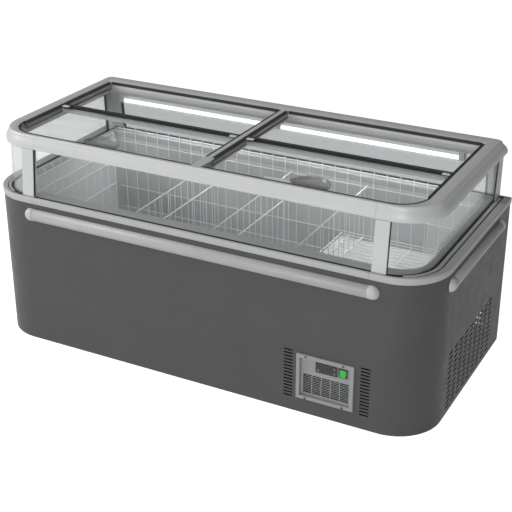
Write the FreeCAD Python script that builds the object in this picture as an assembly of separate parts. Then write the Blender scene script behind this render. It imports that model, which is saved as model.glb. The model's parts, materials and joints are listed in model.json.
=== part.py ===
import FreeCAD, Part
import math
import os

# Chest freezer with sliding glass lids and a glazed display zone.
# Millimetres. X runs along the length, Y from front (-) to rear (+), Z up from the floor.

os.makedirs("parts", exist_ok=True)

# ---------------------------------------------------------------- cabinet sizes
LENGTH = 1856.0
DEPTH = 862.0
BODY_TOP = 608.0
FRONT_R = 175.0
REAR_R = 5.0
SHEET = 1.5
FOOT_H = 10.0
FOOT_R = 28.0
FOOT_IN_Y = 98.0
WALL = 66.0
SIDE_WALL = 78.0
FLOOR_Z = 80.0
STEP_FROM_END = 671.0
BAY_TOP = 298.0
BAY_FOAM = 62.0
BAY_SIDE_FOAM = 65.0
BASE_FLANGE = 22.0
TUB_REAR_R = 30.0
FLANGE_W = 24.0

HALF_X = LENGTH / 2
FRONT = -DEPTH / 2
REAR = DEPTH / 2
TUB_X = HALF_X - SIDE_WALL
TUB_Y = REAR - WALL
TUB_R = FRONT_R - WALL
STEP_X = HALF_X - STEP_FROM_END
STEP_Z = BAY_TOP + BAY_FOAM
BAY_WALL_X = STEP_X + BAY_SIDE_FOAM

# ---------------------------------------------------------------- rim and glass
# Insets are measured inward from the body's faces: one for the front and rear, one for the two ends.
LIP_OVER = 3.0
LIP_H = 25.0
LIP_IN = 9.0
LIP_SIDE_IN = 25.0
GROOVE_DEPTH = 8.0
GAP_W = 4.0
LAND_W = 14.0
LAND_RISE = 2.0
LAND_START = 30.0
SILL_IN = 21.0
SILL_SIDE_IN = 55.0
SILL_RISE = 3.0
SILL_SLOPE = 31.0
SILL_SIDE_SLOPE = 11.0
GLASS_T = 5.0
GLASS_H = 194.0
GLASS_FOOT_IN = 12.0
GLASS_TOP_IN = 31.0
GLASS_FOOT_SIDE = 46.0
GLASS_TOP_SIDE = 40.0
GLASS_CORNER_IN = 25.0
GLASS_REAR_R = 3.0
GASKET_GAP = 0.3
SEAM_FROM_END = 231.0
SEAM_FROM_FRONT = 155.0
POST_FROM_END = 176.0
POST_W = 52.0
POST_PROUD = 3.5
POST_BACK = 7.0
POST_WEB = 6.0
REAR_POST = 32.0
STRIP_W = 10.7
STRIP_T = 1.0

GLASS_R = FRONT_R - GLASS_CORNER_IN
LIP_TOP = BODY_TOP + LIP_H
GROOVE_Z = LIP_TOP - GROOVE_DEPTH
SILL_TOP = LIP_TOP + SILL_RISE
SEAM_X = HALF_X - SEAM_FROM_END
SEAM_Y = FRONT + SEAM_FROM_FRONT
POST_OUT_X = HALF_X - POST_FROM_END
POST_IN_X = POST_OUT_X - POST_W

# ---------------------------------------------------------------- top frame
FRAME_SIDE_IN = 23.0
FRAME_FRONT_IN = 29.0
FRAME_REAR_IN = 23.0
FRAME_STEPS = ((0.0, 0.0), (13.0, 0.0), (43.0, 16.0), (49.0, 20.0), (52.0, 25.0))
FRAME_FRONT_SHARE = 0.7
FRAME_REAR_R = 8.0
FRAME_SIDE_W = 65.0
FRAME_FRONT_W = 28.0
FRAME_REAR_W = 81.0
OPEN_CORNER_IN = 65.0
OPEN_REAR_R = 4.0
BEAM_WEB = 6.0
BEAM_CAP = 9.0
BEAM_RISE = 17.0
BEAM_FOOT_T = 4.0
BEAM_CAP_T = 2.0
CENTRE_HALF = 20.0
CAP_T = 4.0
CHANNEL_W = 14.0
CHANNEL_BACK = 4.0
CHANNEL_GAP = 0.2

OPEN_R = FRONT_R - OPEN_CORNER_IN
FRAME_BOT = GROOVE_Z + GLASS_H
FRAME_TOP = FRAME_BOT + FRAME_STEPS[-1][0]
FRAME_HALF_X = HALF_X - FRAME_SIDE_IN
FRAME_FRONT_Y = FRONT + FRAME_FRONT_IN
FRAME_REAR_Y = REAR - FRAME_REAR_IN
OPEN_HALF_X = FRAME_HALF_X - FRAME_SIDE_W
OPEN_FRONT_Y = FRAME_FRONT_Y + FRAME_FRONT_W
OPEN_REAR_Y = FRAME_REAR_Y - FRAME_REAR_W
BEAM_BOT = FRAME_BOT + BEAM_RISE

# ---------------------------------------------------------------- lids
LID_T = 4.0
UPPER_DROP = 9.0
LOWER_DROP = 27.0
RIDE = 0.3
HEADROOM = 1.0
LID_FRONT_GAP = 3.0
LID_SIDE_GAP = 6.0
LID_IN_X = 12.0
REAR_LID_GAP = 4.0
BAR_Y0 = -21.0
BAR_Y1 = -8.0
BAR_H = 14.5
BAR_DROP = 1.5
BAR_END_GAP = 1.0
LID_SEAT = 4.0
TRIM_Y0 = -34.0
TRIM_Y1 = -20.0
TRIM_UNDER = 3.0
TRIM_H = 12.0
SEAL_T = 2.4
SEAL_H = 13.0
SEAL_LIP = 7.0
HANDLE_X = 430.0
HANDLE_IN = 27.0
HANDLE_R = 74.0
HANDLE_PROUD = 3.0
HANDLE_DEPTH = 5.0
HANDLE_WALL = 4.0
HANDLE_FLOOR = 2.0

UPPER_Z = FRAME_TOP - UPPER_DROP
LOWER_Z = FRAME_TOP - LOWER_DROP
LID_FRONT_Y = OPEN_FRONT_Y + LID_FRONT_GAP
LID_OUT_X = OPEN_HALF_X - LID_SIDE_GAP
LID_CORNER_R = OPEN_R - LID_SIDE_GAP
REAR_LID_Y1 = OPEN_REAR_Y - REAR_LID_GAP
BAR_Z1 = FRAME_TOP - BAR_DROP
BAR_Z0 = BAR_Z1 - BAR_H
TRIM_Z0 = LOWER_Z - TRIM_UNDER
TRIM_Z1 = TRIM_Z0 + TRIM_H
HANDLE_Y = LID_FRONT_Y + HANDLE_IN
HANDLE_TOP = FRAME_TOP + HANDLE_PROUD
HANDLE_DISH = UPPER_Z - HANDLE_DEPTH

# ---------------------------------------------------------------- lights
TUBE_R = 11.0
TUBE_IN = 93.0
TUBE_DROP = 26.0
TUBE_LEFT_IN = 148.0
TUBE_RIGHT_IN = 177.0
TUBE_JOINT_X = -28.0
TUBE_JOINT_GAP = 8.0
HOLDER_L = 20.0
HOLDER_RIM = 5.0
HOLDER_UNDER = 6.0
HOLDER_FIT = 0.1

TUBE_Y = REAR - TUBE_IN
TUBE_Z = FRAME_BOT - TUBE_DROP
TUBE_SPANS = ((-HALF_X + TUBE_LEFT_IN, TUBE_JOINT_X - TUBE_JOINT_GAP / 2),
              (TUBE_JOINT_X + TUBE_JOINT_GAP / 2, HALF_X - TUBE_RIGHT_IN))

# ---------------------------------------------------------------- wire goods
RAIL_R = 2.0
WIRE_R = 1.5
WELD = 3.0
BAR_R = 2.5
FENCE_OFF = 13.0
FENCE_END = 26.0
FENCE_CORNER = 20.0
FENCE_CUT = 8.0
FENCE_SPLIT = 0.5
HANG_DROP = 11.0
FOOT_RAIL = 20.0
FENCE_DROPS = (313.0, 214.0, 107.0, 0.0, -58.0)
END_DROPS = (347.0, 197.0, 91.0, 37.0, -23.0)
FENCE_TALL_UP = 12.0
END_WIRES = 12
HOOK_RISE = 8.0
HOOK_LIFT = 14.0
HOOK_GAP = 4.0
DIVIDER_PITCH = 338.0
DIVIDER_CELLS = 6
DIVIDER_FROM_STEP = 107.0
DIVIDER_FOOT = 12.0
DIVIDER_MID_DROP = 97.0
DIVIDER_WIRES = 14
DIVIDER_SHORT = 24.0
SHELF_RISE = 18.0
SHELF_WIRES = 25
SHELF_RUNNERS = (32.0, 407.0)
SHELF_STRAP = 310.0
SHELF_END = 14.0
SHELF_TURN = 60.0

HANG_Z = BODY_TOP - HANG_DROP
PITCH = DIVIDER_PITCH / DIVIDER_CELLS
SHELF_DIVIDER_X = STEP_X + DIVIDER_FROM_STEP
DIVIDER_X = (SHELF_DIVIDER_X - 2 * DIVIDER_PITCH, SHELF_DIVIDER_X - DIVIDER_PITCH, SHELF_DIVIDER_X)
FENCE_RAILS = [FLOOR_Z + FOOT_RAIL] + [HANG_Z - drop for drop in FENCE_DROPS]
END_RAILS = [FLOOR_Z + FOOT_RAIL] + [HANG_Z - drop for drop in END_DROPS]
SHELF_Z = STEP_Z + SHELF_RISE

# ---------------------------------------------------------------- bumpers
BUMPER_DROP = 46.0
BUMPER_HALF = 25.0
BUMPER_OUT = 20.0
BUMPER_FROM_END = 202.0
BUMPER_SIDE_IN = (166.0, 111.0)
BUMPER_CAP = 28.0
CAP_EXTRA = 1.2

BUMPER_Z = BODY_TOP - BUMPER_DROP
BUMPER_X = HALF_X - BUMPER_FROM_END
BUMPER_SIDE_Y = (FRONT + BUMPER_SIDE_IN[0], REAR - BUMPER_SIDE_IN[1])

# ---------------------------------------------------------------- controls
BEZEL_FROM_END = 268.0
BEZEL_W = 225.0
BEZEL_Z = (72.0, 257.0)
BEZEL_OUT = 7.0
BEZEL_ROUND = 3.0
BEZEL_RIM = 13.5
PANEL_BACK = 8.0
PANEL_T = 2.0
PANEL_LAP = 0.5
GRILLE_IN = 22.0
GRILLE_UP = 23.0
GRILLE_H = 78.0
GRILLE_COLS = 5
GRILLE_ROWS = 11
GRILLE_POST = 4.0
GRILLE_BLADE = 3.2
METER_IN = 73.0
METER_UP = 121.0
METER_W = 84.0
METER_H = 40.0
METER_DEPTH = 56.0
METER_RIM = 4.0
FACE_OUT = 4.0
KEY_R = 4.0
KEY_IN = 11.0
KEY_PROUD = 1.0
KEY_LONG = 3.5
KEY_HOLE = 5.0
ROCKER_GAP = 5.0
ROCKER_UP = 3.0
ROCKER_W = 34.0
ROCKER_H = 36.0
ROCKER_RIM = 3.0
ROCKER_DEPTH = 24.0
SCREW_IN = (38.0, 41.0)
SCREW_R = 4.0
PIN_R = 1.5
PIN_FIT = 0.05

BEZEL_X = (HALF_X - BEZEL_FROM_END - BEZEL_W, HALF_X - BEZEL_FROM_END)
GRILLE_X = (BEZEL_X[0] + GRILLE_IN, BEZEL_X[1] - GRILLE_IN)
GRILLE_Z = (BEZEL_Z[0] + GRILLE_UP, BEZEL_Z[0] + GRILLE_UP + GRILLE_H)
METER_X = (BEZEL_X[0] + METER_IN, BEZEL_X[0] + METER_IN + METER_W)
METER_Z = (BEZEL_Z[0] + METER_UP, BEZEL_Z[0] + METER_UP + METER_H)
ROCKER_X = (METER_X[1] + ROCKER_GAP, METER_X[1] + ROCKER_GAP + ROCKER_W)
ROCKER_Z = (METER_Z[0] + ROCKER_UP, METER_Z[0] + ROCKER_UP + ROCKER_H)
SCREW_X = (BEZEL_X[0] + SCREW_IN[0], BEZEL_X[1] - SCREW_IN[1])

# ---------------------------------------------------------------- vents
SLOT_OFF = (33.5, 41.0)
SLOT_W = 37.0
SLOT_H = 6.0
SLOT_Z = (70.0, 260.0)
SLOT_ROWS = 15
SIDE_SLOT_IN = (225.0, 137.0)
SIDE_SLOT_Z = (38.0, 262.0)
SIDE_SLOT_L = 40.0
SIDE_SLOT_H = 8.0
SIDE_COLS = 9
SIDE_ROWS = 12
REAR_SLOT_IN = 80.0
REAR_SLOT_Z = (60.0, 260.0)
REAR_ROWS = 9

SLOT_X = (BEZEL_X[0] - SLOT_OFF[0], BEZEL_X[1] + SLOT_OFF[1])
SIDE_SLOT_Y = (FRONT + SIDE_SLOT_IN[0], REAR - SIDE_SLOT_IN[1])

# ---------------------------------------------------------------- machine bay
COMP_FROM_END = 168.0
COMP_FROM_REAR = 241.0
COMP_R = 78.0
COMP_POT_H = 90.0
COMP_DOME_H = 50.0
COMP_PLATE = (85.0, 75.0, 4.0)
COMP_FOOT_R = 10.0
COMP_FOOT_H = 14.0
COMP_FOOT_IN = 15.0
COIL_IN = 5.0
COIL_BACK = 26.0
COIL_T = 55.0
COIL_Z = (34.0, 180.0)
COIL_ROWS = 5
COIL_ROW_UP = 18.0
COIL_ROW_PITCH = 27.0
COIL_TUBE_R = 4.0
COIL_BEND = 7.0
COIL_ROW_IN = 14.0
COIL_PLATE_T = 3.0
FAN_Z = 107.0
FAN_R = 62.0
FAN_T = 30.0
FAN_GAP = 4.0
FAN_RIM = 12.0
FAN_BLADES = 5
FAN_TWIST = 58.0
HUB_R = 18.0
MOTOR_R = 24.0
MOTOR_L = 40.0
SHAFT_R = 4.0
SHAFT_FIT = 0.05
ECU_X = 58.0
ECU_SIZE = (180.0, 140.0, 70.0)
ECU_Y = -120.0
GLAND_R = 11.0
GLAND_BORE = 5.0
GLAND_L = 14.0
PIPE_R = 4.0
PIPE_UP = 80.0
PIPE_OFF = 20.0
PIPE_TURN_Y = -200.0

COMP_X = HALF_X - COMP_FROM_END
COMP_Y = REAR - COMP_FROM_REAR
COIL_X = (BEZEL_X[0] + COIL_IN, BEZEL_X[1] - COIL_IN)
COIL_Y = (FRONT + COIL_BACK, FRONT + COIL_BACK + COIL_T)
FAN_X = (COIL_X[0] + COIL_X[1]) / 2

# The front bumper stands out further than the rear rim, so everything moves back to centre the whole.
SHIFT_Y = (BUMPER_OUT + CAP_EXTRA - LIP_OVER) / 2

V = FreeCAD.Vector


def box(x0, x1, y0, y1, z0, z1):
    return Part.makeBox(x1 - x0, y1 - y0, z1 - z0, V(x0, y0, z0))


def rod(start, end, radius):
    a = V(*start)
    b = V(*end)
    return Part.makeCylinder(radius, (b - a).Length, a, b - a)


def fused(shapes):
    shapes = list(shapes)
    if len(shapes) == 1:
        return shapes[0]
    return shapes[0].multiFuse(shapes[1:])


def group(shapes):
    return Part.makeCompound(list(shapes))


def plan(half_x, y_front, y_rear, r_front, r_rear, z):
    corners = (
        (half_x - r_front, y_front + r_front, r_front, 270.0),
        (half_x - r_rear, y_rear - r_rear, r_rear, 0.0),
        (-half_x + r_rear, y_rear - r_rear, r_rear, 90.0),
        (-half_x + r_front, y_front + r_front, r_front, 180.0),
    )
    arcs = [Part.makeCircle(r, V(cx, cy, z), V(0, 0, 1), a, a + 90.0) for cx, cy, r, a in corners]
    edges = []
    for i, arc in enumerate(arcs):
        follow = arcs[(i + 1) % 4]
        edges.append(arc)
        edges.append(Part.makeLine(arc.valueAt(arc.LastParameter), follow.valueAt(follow.FirstParameter)))
    return Part.Wire(edges)


def inset(amount, z, rear_r=None):
    r_rear = max(REAR_R - amount, 1.0) if rear_r is None else rear_r
    return plan(HALF_X - amount, FRONT + amount, REAR - amount, FRONT_R - amount, r_rear, z)


def prism(wire, height):
    return Part.Face(wire).extrude(V(0, 0, height))


def ring(outer, inner, z0, z1):
    return prism(inset(outer, z0), z1 - z0).cut(prism(inset(inner, z0), z1 - z0))


def polygon_x(points, x0, x1):
    wire = Part.makePolygon([V(x0, y, z) for y, z in points + points[:1]])
    return Part.Face(wire).extrude(V(x1 - x0, 0, 0))


def polygon_y(points, y0, y1):
    wire = Part.makePolygon([V(x, y0, z) for x, z in points + points[:1]])
    return Part.Face(wire).extrude(V(0, y1 - y0, 0))


def mirrored(shape):
    return shape.mirror(V(0, 0, 0), V(1, 0, 0))


def both(shape):
    return group([shape, mirrored(shape)])


def save(name, shape):
    placed = shape.copy()
    placed.translate(V(0, SHIFT_Y, 0))
    placed.exportStep("parts/" + name + ".step")
    print(name, len(placed.Solids), round(placed.Volume / 1000.0, 1), placed.isValid(), flush=True)


def tub(grow, z0, z_top):
    """The stepped hollow of the tub, its walls moved outward by grow."""
    wire = plan(TUB_X + grow, -TUB_Y - grow, TUB_Y + grow, TUB_R + grow, TUB_REAR_R + grow, z0)
    deep = prism(wire, z_top - z0)
    step = box(STEP_X + grow, HALF_X, FRONT, REAR, z0 - 1.0, STEP_Z - grow)
    return deep.cut(step)


def seat(x_in, y_in, z):
    """A loop on the rim; its corners keep the centre line of the glass's corners."""
    radius = GLASS_R + GLASS_FOOT_IN - y_in
    return plan(HALF_X - x_in, FRONT + y_in, REAR - y_in, radius, GLASS_REAR_R, z)


def seat_ring(outer, inner, z0, z1):
    return prism(seat(outer[0], outer[1], z0), z1 - z0).cut(prism(seat(inner[0], inner[1], z0), z1 - z0))


def glass_band(outside, inside, z0, z1):
    """A leaning wall that follows the glass; both sides are measured inward from the glass's outer face."""

    def wire(side, z):
        share = (z - GROOVE_Z) / GLASS_H
        x_in = GLASS_FOOT_SIDE + (GLASS_TOP_SIDE - GLASS_FOOT_SIDE) * share + side
        y_in = GLASS_FOOT_IN + (GLASS_TOP_IN - GLASS_FOOT_IN) * share + side
        return plan(HALF_X - x_in, FRONT + y_in, REAR - y_in, GLASS_R - side, GLASS_REAR_R, z)

    outer = Part.makeLoft([wire(outside, z0), wire(outside, z1)], True, True)
    inner = Part.makeLoft([wire(inside, z0 - 1.0), wire(inside, z1 + 1.0)], True, True)
    return outer.cut(inner)


def stadium(x, z, width, height, y0, depth):
    r = height / 2
    a = width / 2 - r
    top = Part.makeLine(V(x + a, y0, z + r), V(x - a, y0, z + r))
    left = Part.Arc(V(x - a, y0, z + r), V(x - a - r, y0, z), V(x - a, y0, z - r)).toShape()
    low = Part.makeLine(V(x - a, y0, z - r), V(x + a, y0, z - r))
    right = Part.Arc(V(x + a, y0, z - r), V(x + a + r, y0, z), V(x + a, y0, z + r)).toShape()
    return Part.Face(Part.Wire([top, left, low, right])).extrude(V(0, depth, 0))


def spread(limits, count):
    low, high = limits
    return [low + (high - low) * i / (count - 1) for i in range(count)]


def cabinet():
    body_h = BODY_TOP - FOOT_H
    shell = prism(inset(0.0, FOOT_H), body_h).cut(prism(inset(SHEET, FOOT_H), body_h))
    shell = shell.cut(box(-HALF_X, HALF_X, REAR - SHEET, REAR + 1.0, FOOT_H, BODY_TOP))
    slots = [stadium(x, z, SLOT_W, SLOT_H, FRONT - 2.0, 8.0)
             for x in SLOT_X for z in spread(SLOT_Z, SLOT_ROWS)]
    for y in spread((SIDE_SLOT_Y[0] + SIDE_SLOT_L / 2, SIDE_SLOT_Y[1] - SIDE_SLOT_L / 2), SIDE_COLS):
        for z in spread(SIDE_SLOT_Z, SIDE_ROWS):
            slot = stadium(y, z, SIDE_SLOT_L, SIDE_SLOT_H, -4.0, 8.0)
            slot.rotate(V(0, 0, 0), V(0, 0, 1), 90.0)
            slot.translate(V(HALF_X, 0, 0))
            slots.append(slot)
    slots.append(box(BEZEL_X[0] + BEZEL_RIM - 1.0, BEZEL_X[1] - BEZEL_RIM + 1.0, FRONT - 2.0, FRONT + 6.0,
                     BEZEL_Z[0] + BEZEL_RIM - 1.0, BEZEL_Z[1] - BEZEL_RIM + 1.0))
    save("outer_shell", shell.cut(group(slots)))

    back = box(-HALF_X + SHEET, HALF_X - SHEET, REAR - SHEET, REAR, FOOT_H, BODY_TOP)
    vents = [stadium(x, z, SIDE_SLOT_L, SIDE_SLOT_H, REAR - 4.0, 8.0)
             for x in spread((BAY_WALL_X + REAR_SLOT_IN, HALF_X - REAR_SLOT_IN), SIDE_COLS)
             for z in spread(REAR_SLOT_Z, REAR_ROWS)]
    save("rear_panel", back.cut(group(vents)))

    pan_plan = inset(SHEET, FOOT_H)
    pan = prism(pan_plan, BASE_FLANGE).cut(prism(inset(2 * SHEET, FOOT_H + SHEET), BASE_FLANGE))
    save("base_pan", pan)

    foot_x = HALF_X - FRONT_R
    foot_y = REAR - FOOT_IN_Y
    feet = [Part.makeCylinder(FOOT_R, FOOT_H, V(x, y, 0)) for x in (-foot_x, 0.0, foot_x) for y in (-foot_y, foot_y)]
    save("foot_pads", group(feet))

    liner = tub(SHEET, FLOOR_Z - SHEET, BODY_TOP).cut(tub(0.0, FLOOR_Z, BODY_TOP + 1.0))
    flange_z = BODY_TOP - SHEET
    mouth = prism(plan(TUB_X, -TUB_Y, TUB_Y, TUB_R, TUB_REAR_R, flange_z - 1.0), 3.0)
    flange = prism(inset(WALL - FLANGE_W, flange_z), SHEET).cut(mouth)
    save("inner_liner", liner.fuse(flange))

    bay_depth = REAR - 2 * SHEET
    foam = prism(inset(2 * SHEET, FOOT_H + SHEET), BODY_TOP - SHEET - FOOT_H - SHEET)
    foam = foam.cut(tub(SHEET, FLOOR_Z - SHEET, BODY_TOP + 1.0))
    foam = foam.cut(box(BAY_WALL_X - SHEET, HALF_X, -REAR, REAR, FOOT_H, BAY_TOP + SHEET))
    save("insulation_foam", foam)

    wall = box(BAY_WALL_X - SHEET, BAY_WALL_X, -bay_depth, bay_depth, FOOT_H + SHEET, BAY_TOP + SHEET)
    roof = prism(inset(2 * SHEET, BAY_TOP), SHEET).common(box(BAY_WALL_X - SHEET, HALF_X, FRONT, REAR, 0, BODY_TOP))
    save("bay_lining", wall.fuse(roof))


def rim():
    base = prism(inset(-LIP_OVER, BODY_TOP), LIP_TOP - BODY_TOP)
    slope = Part.makeLoft([seat(SILL_SIDE_IN, SILL_IN, LIP_TOP),
                           seat(SILL_SIDE_IN + SILL_SIDE_SLOPE, SILL_IN + SILL_SLOPE, SILL_TOP)], True, True)
    groove = seat_ring((LIP_SIDE_IN, LIP_IN), (SILL_SIDE_IN, SILL_IN), GROOVE_Z, LIP_TOP + 1.0)
    land_in = LIP_SIDE_IN + GAP_W
    land = seat_ring((land_in, GLASS_FOOT_IN), (land_in + LAND_W, GLASS_FOOT_IN), GROOVE_Z, LIP_TOP + LAND_RISE)
    far = HALF_X + 20.0
    land = land.common(box(-far, far, FRONT + LAND_START, REAR - LAND_START, GROOVE_Z, SILL_TOP))
    inside = prism(plan(TUB_X, -TUB_Y, TUB_Y, TUB_R, TUB_REAR_R, BODY_TOP - 1.0), LIP_TOP)
    whole = base.cut(groove).fuse(slope).cut(inside).fuse(land)
    rear_y = TUB_Y - TUB_REAR_R
    low = BODY_TOP - 5.0
    high = SILL_TOP + 5.0
    save("rim_front", whole.common(box(-SEAM_X, SEAM_X, -far, 0, low, high)))
    save("rim_corners", both(whole.common(box(SEAM_X, far, -far, SEAM_Y, low, high))))
    save("rim_sides", both(whole.common(box(SEAM_X, far, SEAM_Y, rear_y, low, high))))
    save("rim_rear", whole.common(box(-far, far, rear_y, far, low, high)))


def glazing():
    glass = glass_band(0.0, GLASS_T, GROOVE_Z, FRAME_BOT)
    far = HALF_X + 20.0
    low = GROOVE_Z
    high = FRAME_BOT
    g = GASKET_GAP
    mid = (POST_IN_X + POST_OUT_X) / 2
    web = POST_WEB / 2 + g
    turn_x = HALF_X - GLASS_FOOT_SIDE - GLASS_T - POST_BACK
    turn_y = REAR - GLASS_TOP_IN - GLASS_T - POST_BACK
    save("glass_front", glass.common(box(-mid + web, mid - web, -far, 0, low, high)))
    right = glass.common(box(mid + web, far, -far, turn_y, low, high))
    save("glass_right", right)
    save("glass_left", mirrored(right))
    save("glass_rear", glass.common(box(-turn_x, turn_x, 0, far, low, high)))

    base_z = GROOVE_Z + g
    top_z = LIP_TOP - g
    foot = (GLASS_FOOT_SIDE, GLASS_FOOT_IN)
    lean = (GLASS_TOP_IN - GLASS_FOOT_IN) * GROOVE_DEPTH / GLASS_H
    outer = seat_ring((LIP_SIDE_IN + g, LIP_IN + g), (LIP_SIDE_IN + GAP_W - g, foot[1] - g), base_z, top_z)
    inner = seat_ring((foot[0] + GLASS_T + g, foot[1] + GLASS_T + lean + g), (SILL_SIDE_IN - g, SILL_IN - g),
                      base_z, top_z)
    land_edge = LIP_SIDE_IN + GAP_W + LAND_W
    side = seat_ring((land_edge + 2 * g, foot[1]), (foot[0] - 2 * g, foot[1]), base_z, LIP_TOP + LAND_RISE)
    side = side.common(box(0, far, FRONT + 2 * LAND_START, REAR - LAND_START, low, high))
    edge = glass_band(-g - STRIP_T, -g, LIP_TOP, FRAME_BOT)
    rear_low = SILL_TOP
    spans = [box(POST_IN_X - g - STRIP_W, POST_IN_X - g, -far, 0, low, high),
             box(POST_OUT_X + g, POST_OUT_X + g + STRIP_W, -far, FRONT + LAND_START, low, high),
             box(0, far, turn_y - REAR_POST - g - STRIP_W, turn_y - REAR_POST - g, rear_low, high),
             box(turn_x - REAR_POST - g - STRIP_W, turn_x - REAR_POST - g, 0, far, rear_low, high)]
    strips = [edge.common(span) for span in spans]
    halves = [side] + strips
    save("glass_gaskets", group([outer, inner] + halves + [mirrored(half) for half in halves]))

    column = glass_band(-POST_PROUD, POST_BACK, LIP_TOP, FRAME_BOT)
    slot = glass_band(-g, GLASS_T + g, LIP_TOP - 1.0, FRAME_BOT + 1.0)
    keep = box(mid - POST_WEB / 2, mid + POST_WEB / 2, -far, 0, low, high)
    front = column.common(box(POST_IN_X, POST_OUT_X, -far, 0, low, high))
    front = front.cut(slot.cut(keep))
    corner = box(turn_x + g, far, turn_y + g, far, low, high)
    back = column.common(box(turn_x - REAR_POST, far, turn_y - REAR_POST, far, rear_low, high))
    back = back.cut(slot.cut(corner))
    save("corner_posts", group([front, mirrored(front), back, mirrored(back)]))


def top_frame():
    wires = []
    for rise, narrow in FRAME_STEPS:
        front_y = FRAME_FRONT_Y + narrow * FRAME_FRONT_SHARE
        rear_y = FRAME_REAR_Y - narrow * FRAME_FRONT_SHARE
        radius = FRONT_R - FRAME_SIDE_IN - narrow
        wires.append(plan(FRAME_HALF_X - narrow, front_y, rear_y, radius, FRAME_REAR_R, FRAME_BOT + rise))
    solid = Part.makeLoft(wires, True, True)
    hole = prism(plan(OPEN_HALF_X, OPEN_FRONT_Y, OPEN_REAR_Y, OPEN_R, OPEN_REAR_R, FRAME_BOT - 1.0),
                 FRAME_TOP)
    whole = solid.cut(hole)
    far = HALF_X + 20.0
    low = FRAME_BOT - 5.0
    high = FRAME_TOP + 5.0
    save("frame_front", whole.common(box(-SEAM_X, SEAM_X, -far, 0, low, high)))
    save("frame_corners", both(whole.common(box(SEAM_X, far, -far, SEAM_Y, low, high))))
    save("frame_sides", both(whole.common(box(SEAM_X, far, SEAM_Y, OPEN_REAR_Y - 5.0, low, high))))
    save("frame_rear", whole.common(box(-far, far, OPEN_REAR_Y - 5.0, far, low, high)))

    cap_z = FRAME_TOP - CAP_T
    beam_cap_z = FRAME_TOP - BEAM_CAP_T
    web = box(-BEAM_WEB, BEAM_WEB, OPEN_FRONT_Y, OPEN_REAR_Y, BEAM_BOT, cap_z)
    rib = box(-BEAM_WEB, BEAM_WEB, SEAM_Y, OPEN_REAR_Y, cap_z, beam_cap_z)
    flange = box(-BEAM_CAP, BEAM_CAP, SEAM_Y, OPEN_REAR_Y, beam_cap_z, FRAME_TOP)
    foot = box(-CENTRE_HALF, CENTRE_HALF, OPEN_FRONT_Y, OPEN_REAR_Y, BEAM_BOT, BEAM_BOT + BEAM_FOOT_T)
    save("centre_beam", fused([web, rib, flange, foot]))
    save("centre_beam_cap", box(-CENTRE_HALF, CENTRE_HALF, OPEN_FRONT_Y, SEAM_Y, cap_z, FRAME_TOP))

    # One channel section serves all four runs: a lower groove and an upper groove for the lids.
    low_z = BEAM_BOT + BEAM_FOOT_T + CHANNEL_GAP
    top_z = FRAME_TOP - BEAM_CAP_T - CHANNEL_GAP
    lower0 = LOWER_Z - RIDE
    lower1 = LOWER_Z + LID_T + HEADROOM
    upper0 = UPPER_Z - RIDE
    upper1 = UPPER_Z + LID_T + HEADROOM
    b = CHANNEL_BACK
    w = CHANNEL_W
    section = [(0, low_z), (w, low_z), (w, lower0), (b, lower0), (b, lower1), (w, lower1), (w, upper0),
               (b, upper0), (b, upper1), (w, upper1), (w, top_z), (0, top_z)]
    inner_x = BEAM_WEB + CHANNEL_GAP
    corner_y = OPEN_FRONT_Y + OPEN_R
    centre = polygon_y([(inner_x + u, z) for u, z in section], SEAM_Y, OPEN_REAR_Y)
    side = polygon_y([(OPEN_HALF_X - u, z) for u, z in section], corner_y, OPEN_REAR_Y - 5.0)
    save("lid_channels", group([centre, mirrored(centre), side, mirrored(side)]))

    seal_z = FRAME_TOP - SEAL_H
    lip_z = UPPER_Z + LID_T + HEADROOM
    g = GASKET_GAP
    opening = prism(plan(OPEN_HALF_X - g, OPEN_FRONT_Y + g, OPEN_REAR_Y - g, OPEN_R - g, OPEN_REAR_R, seal_z),
                    SEAL_H)
    t = SEAL_T
    inner = prism(plan(OPEN_HALF_X - t, OPEN_FRONT_Y + t, OPEN_REAR_Y - t, OPEN_R - t, OPEN_REAR_R, seal_z),
                  SEAL_H)
    lip_r = OPEN_R - SEAL_LIP
    under = prism(plan(OPEN_HALF_X - SEAL_LIP, OPEN_FRONT_Y + SEAL_LIP, OPEN_REAR_Y - SEAL_LIP, lip_r, OPEN_REAR_R,
                       lip_z), SEAL_H)
    lip = opening.cut(under).common(box(-far, far, -far, far, lip_z, high))
    loop = opening.cut(inner)
    front_box = box(CENTRE_HALF + CHANNEL_GAP, far, -far, corner_y - CHANNEL_GAP, low, high)
    front = loop.fuse(lip).common(front_box)
    seal_end = OPEN_HALF_X - CHANNEL_W - CHANNEL_GAP
    rear = loop.common(box(CENTRE_HALF + 2.0, seal_end, 0, far, low, high))
    save("lid_seals", group([front, mirrored(front), rear, mirrored(rear)]))


def half_moon(radius, flat, z0, z1):
    disc = Part.makeCylinder(radius, z1 - z0, V(HANDLE_X, HANDLE_Y, z0))
    y0 = HANDLE_Y + flat
    return disc.common(box(HANDLE_X - radius, HANDLE_X + radius, y0, y0 + radius, z0, z1))


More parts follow.
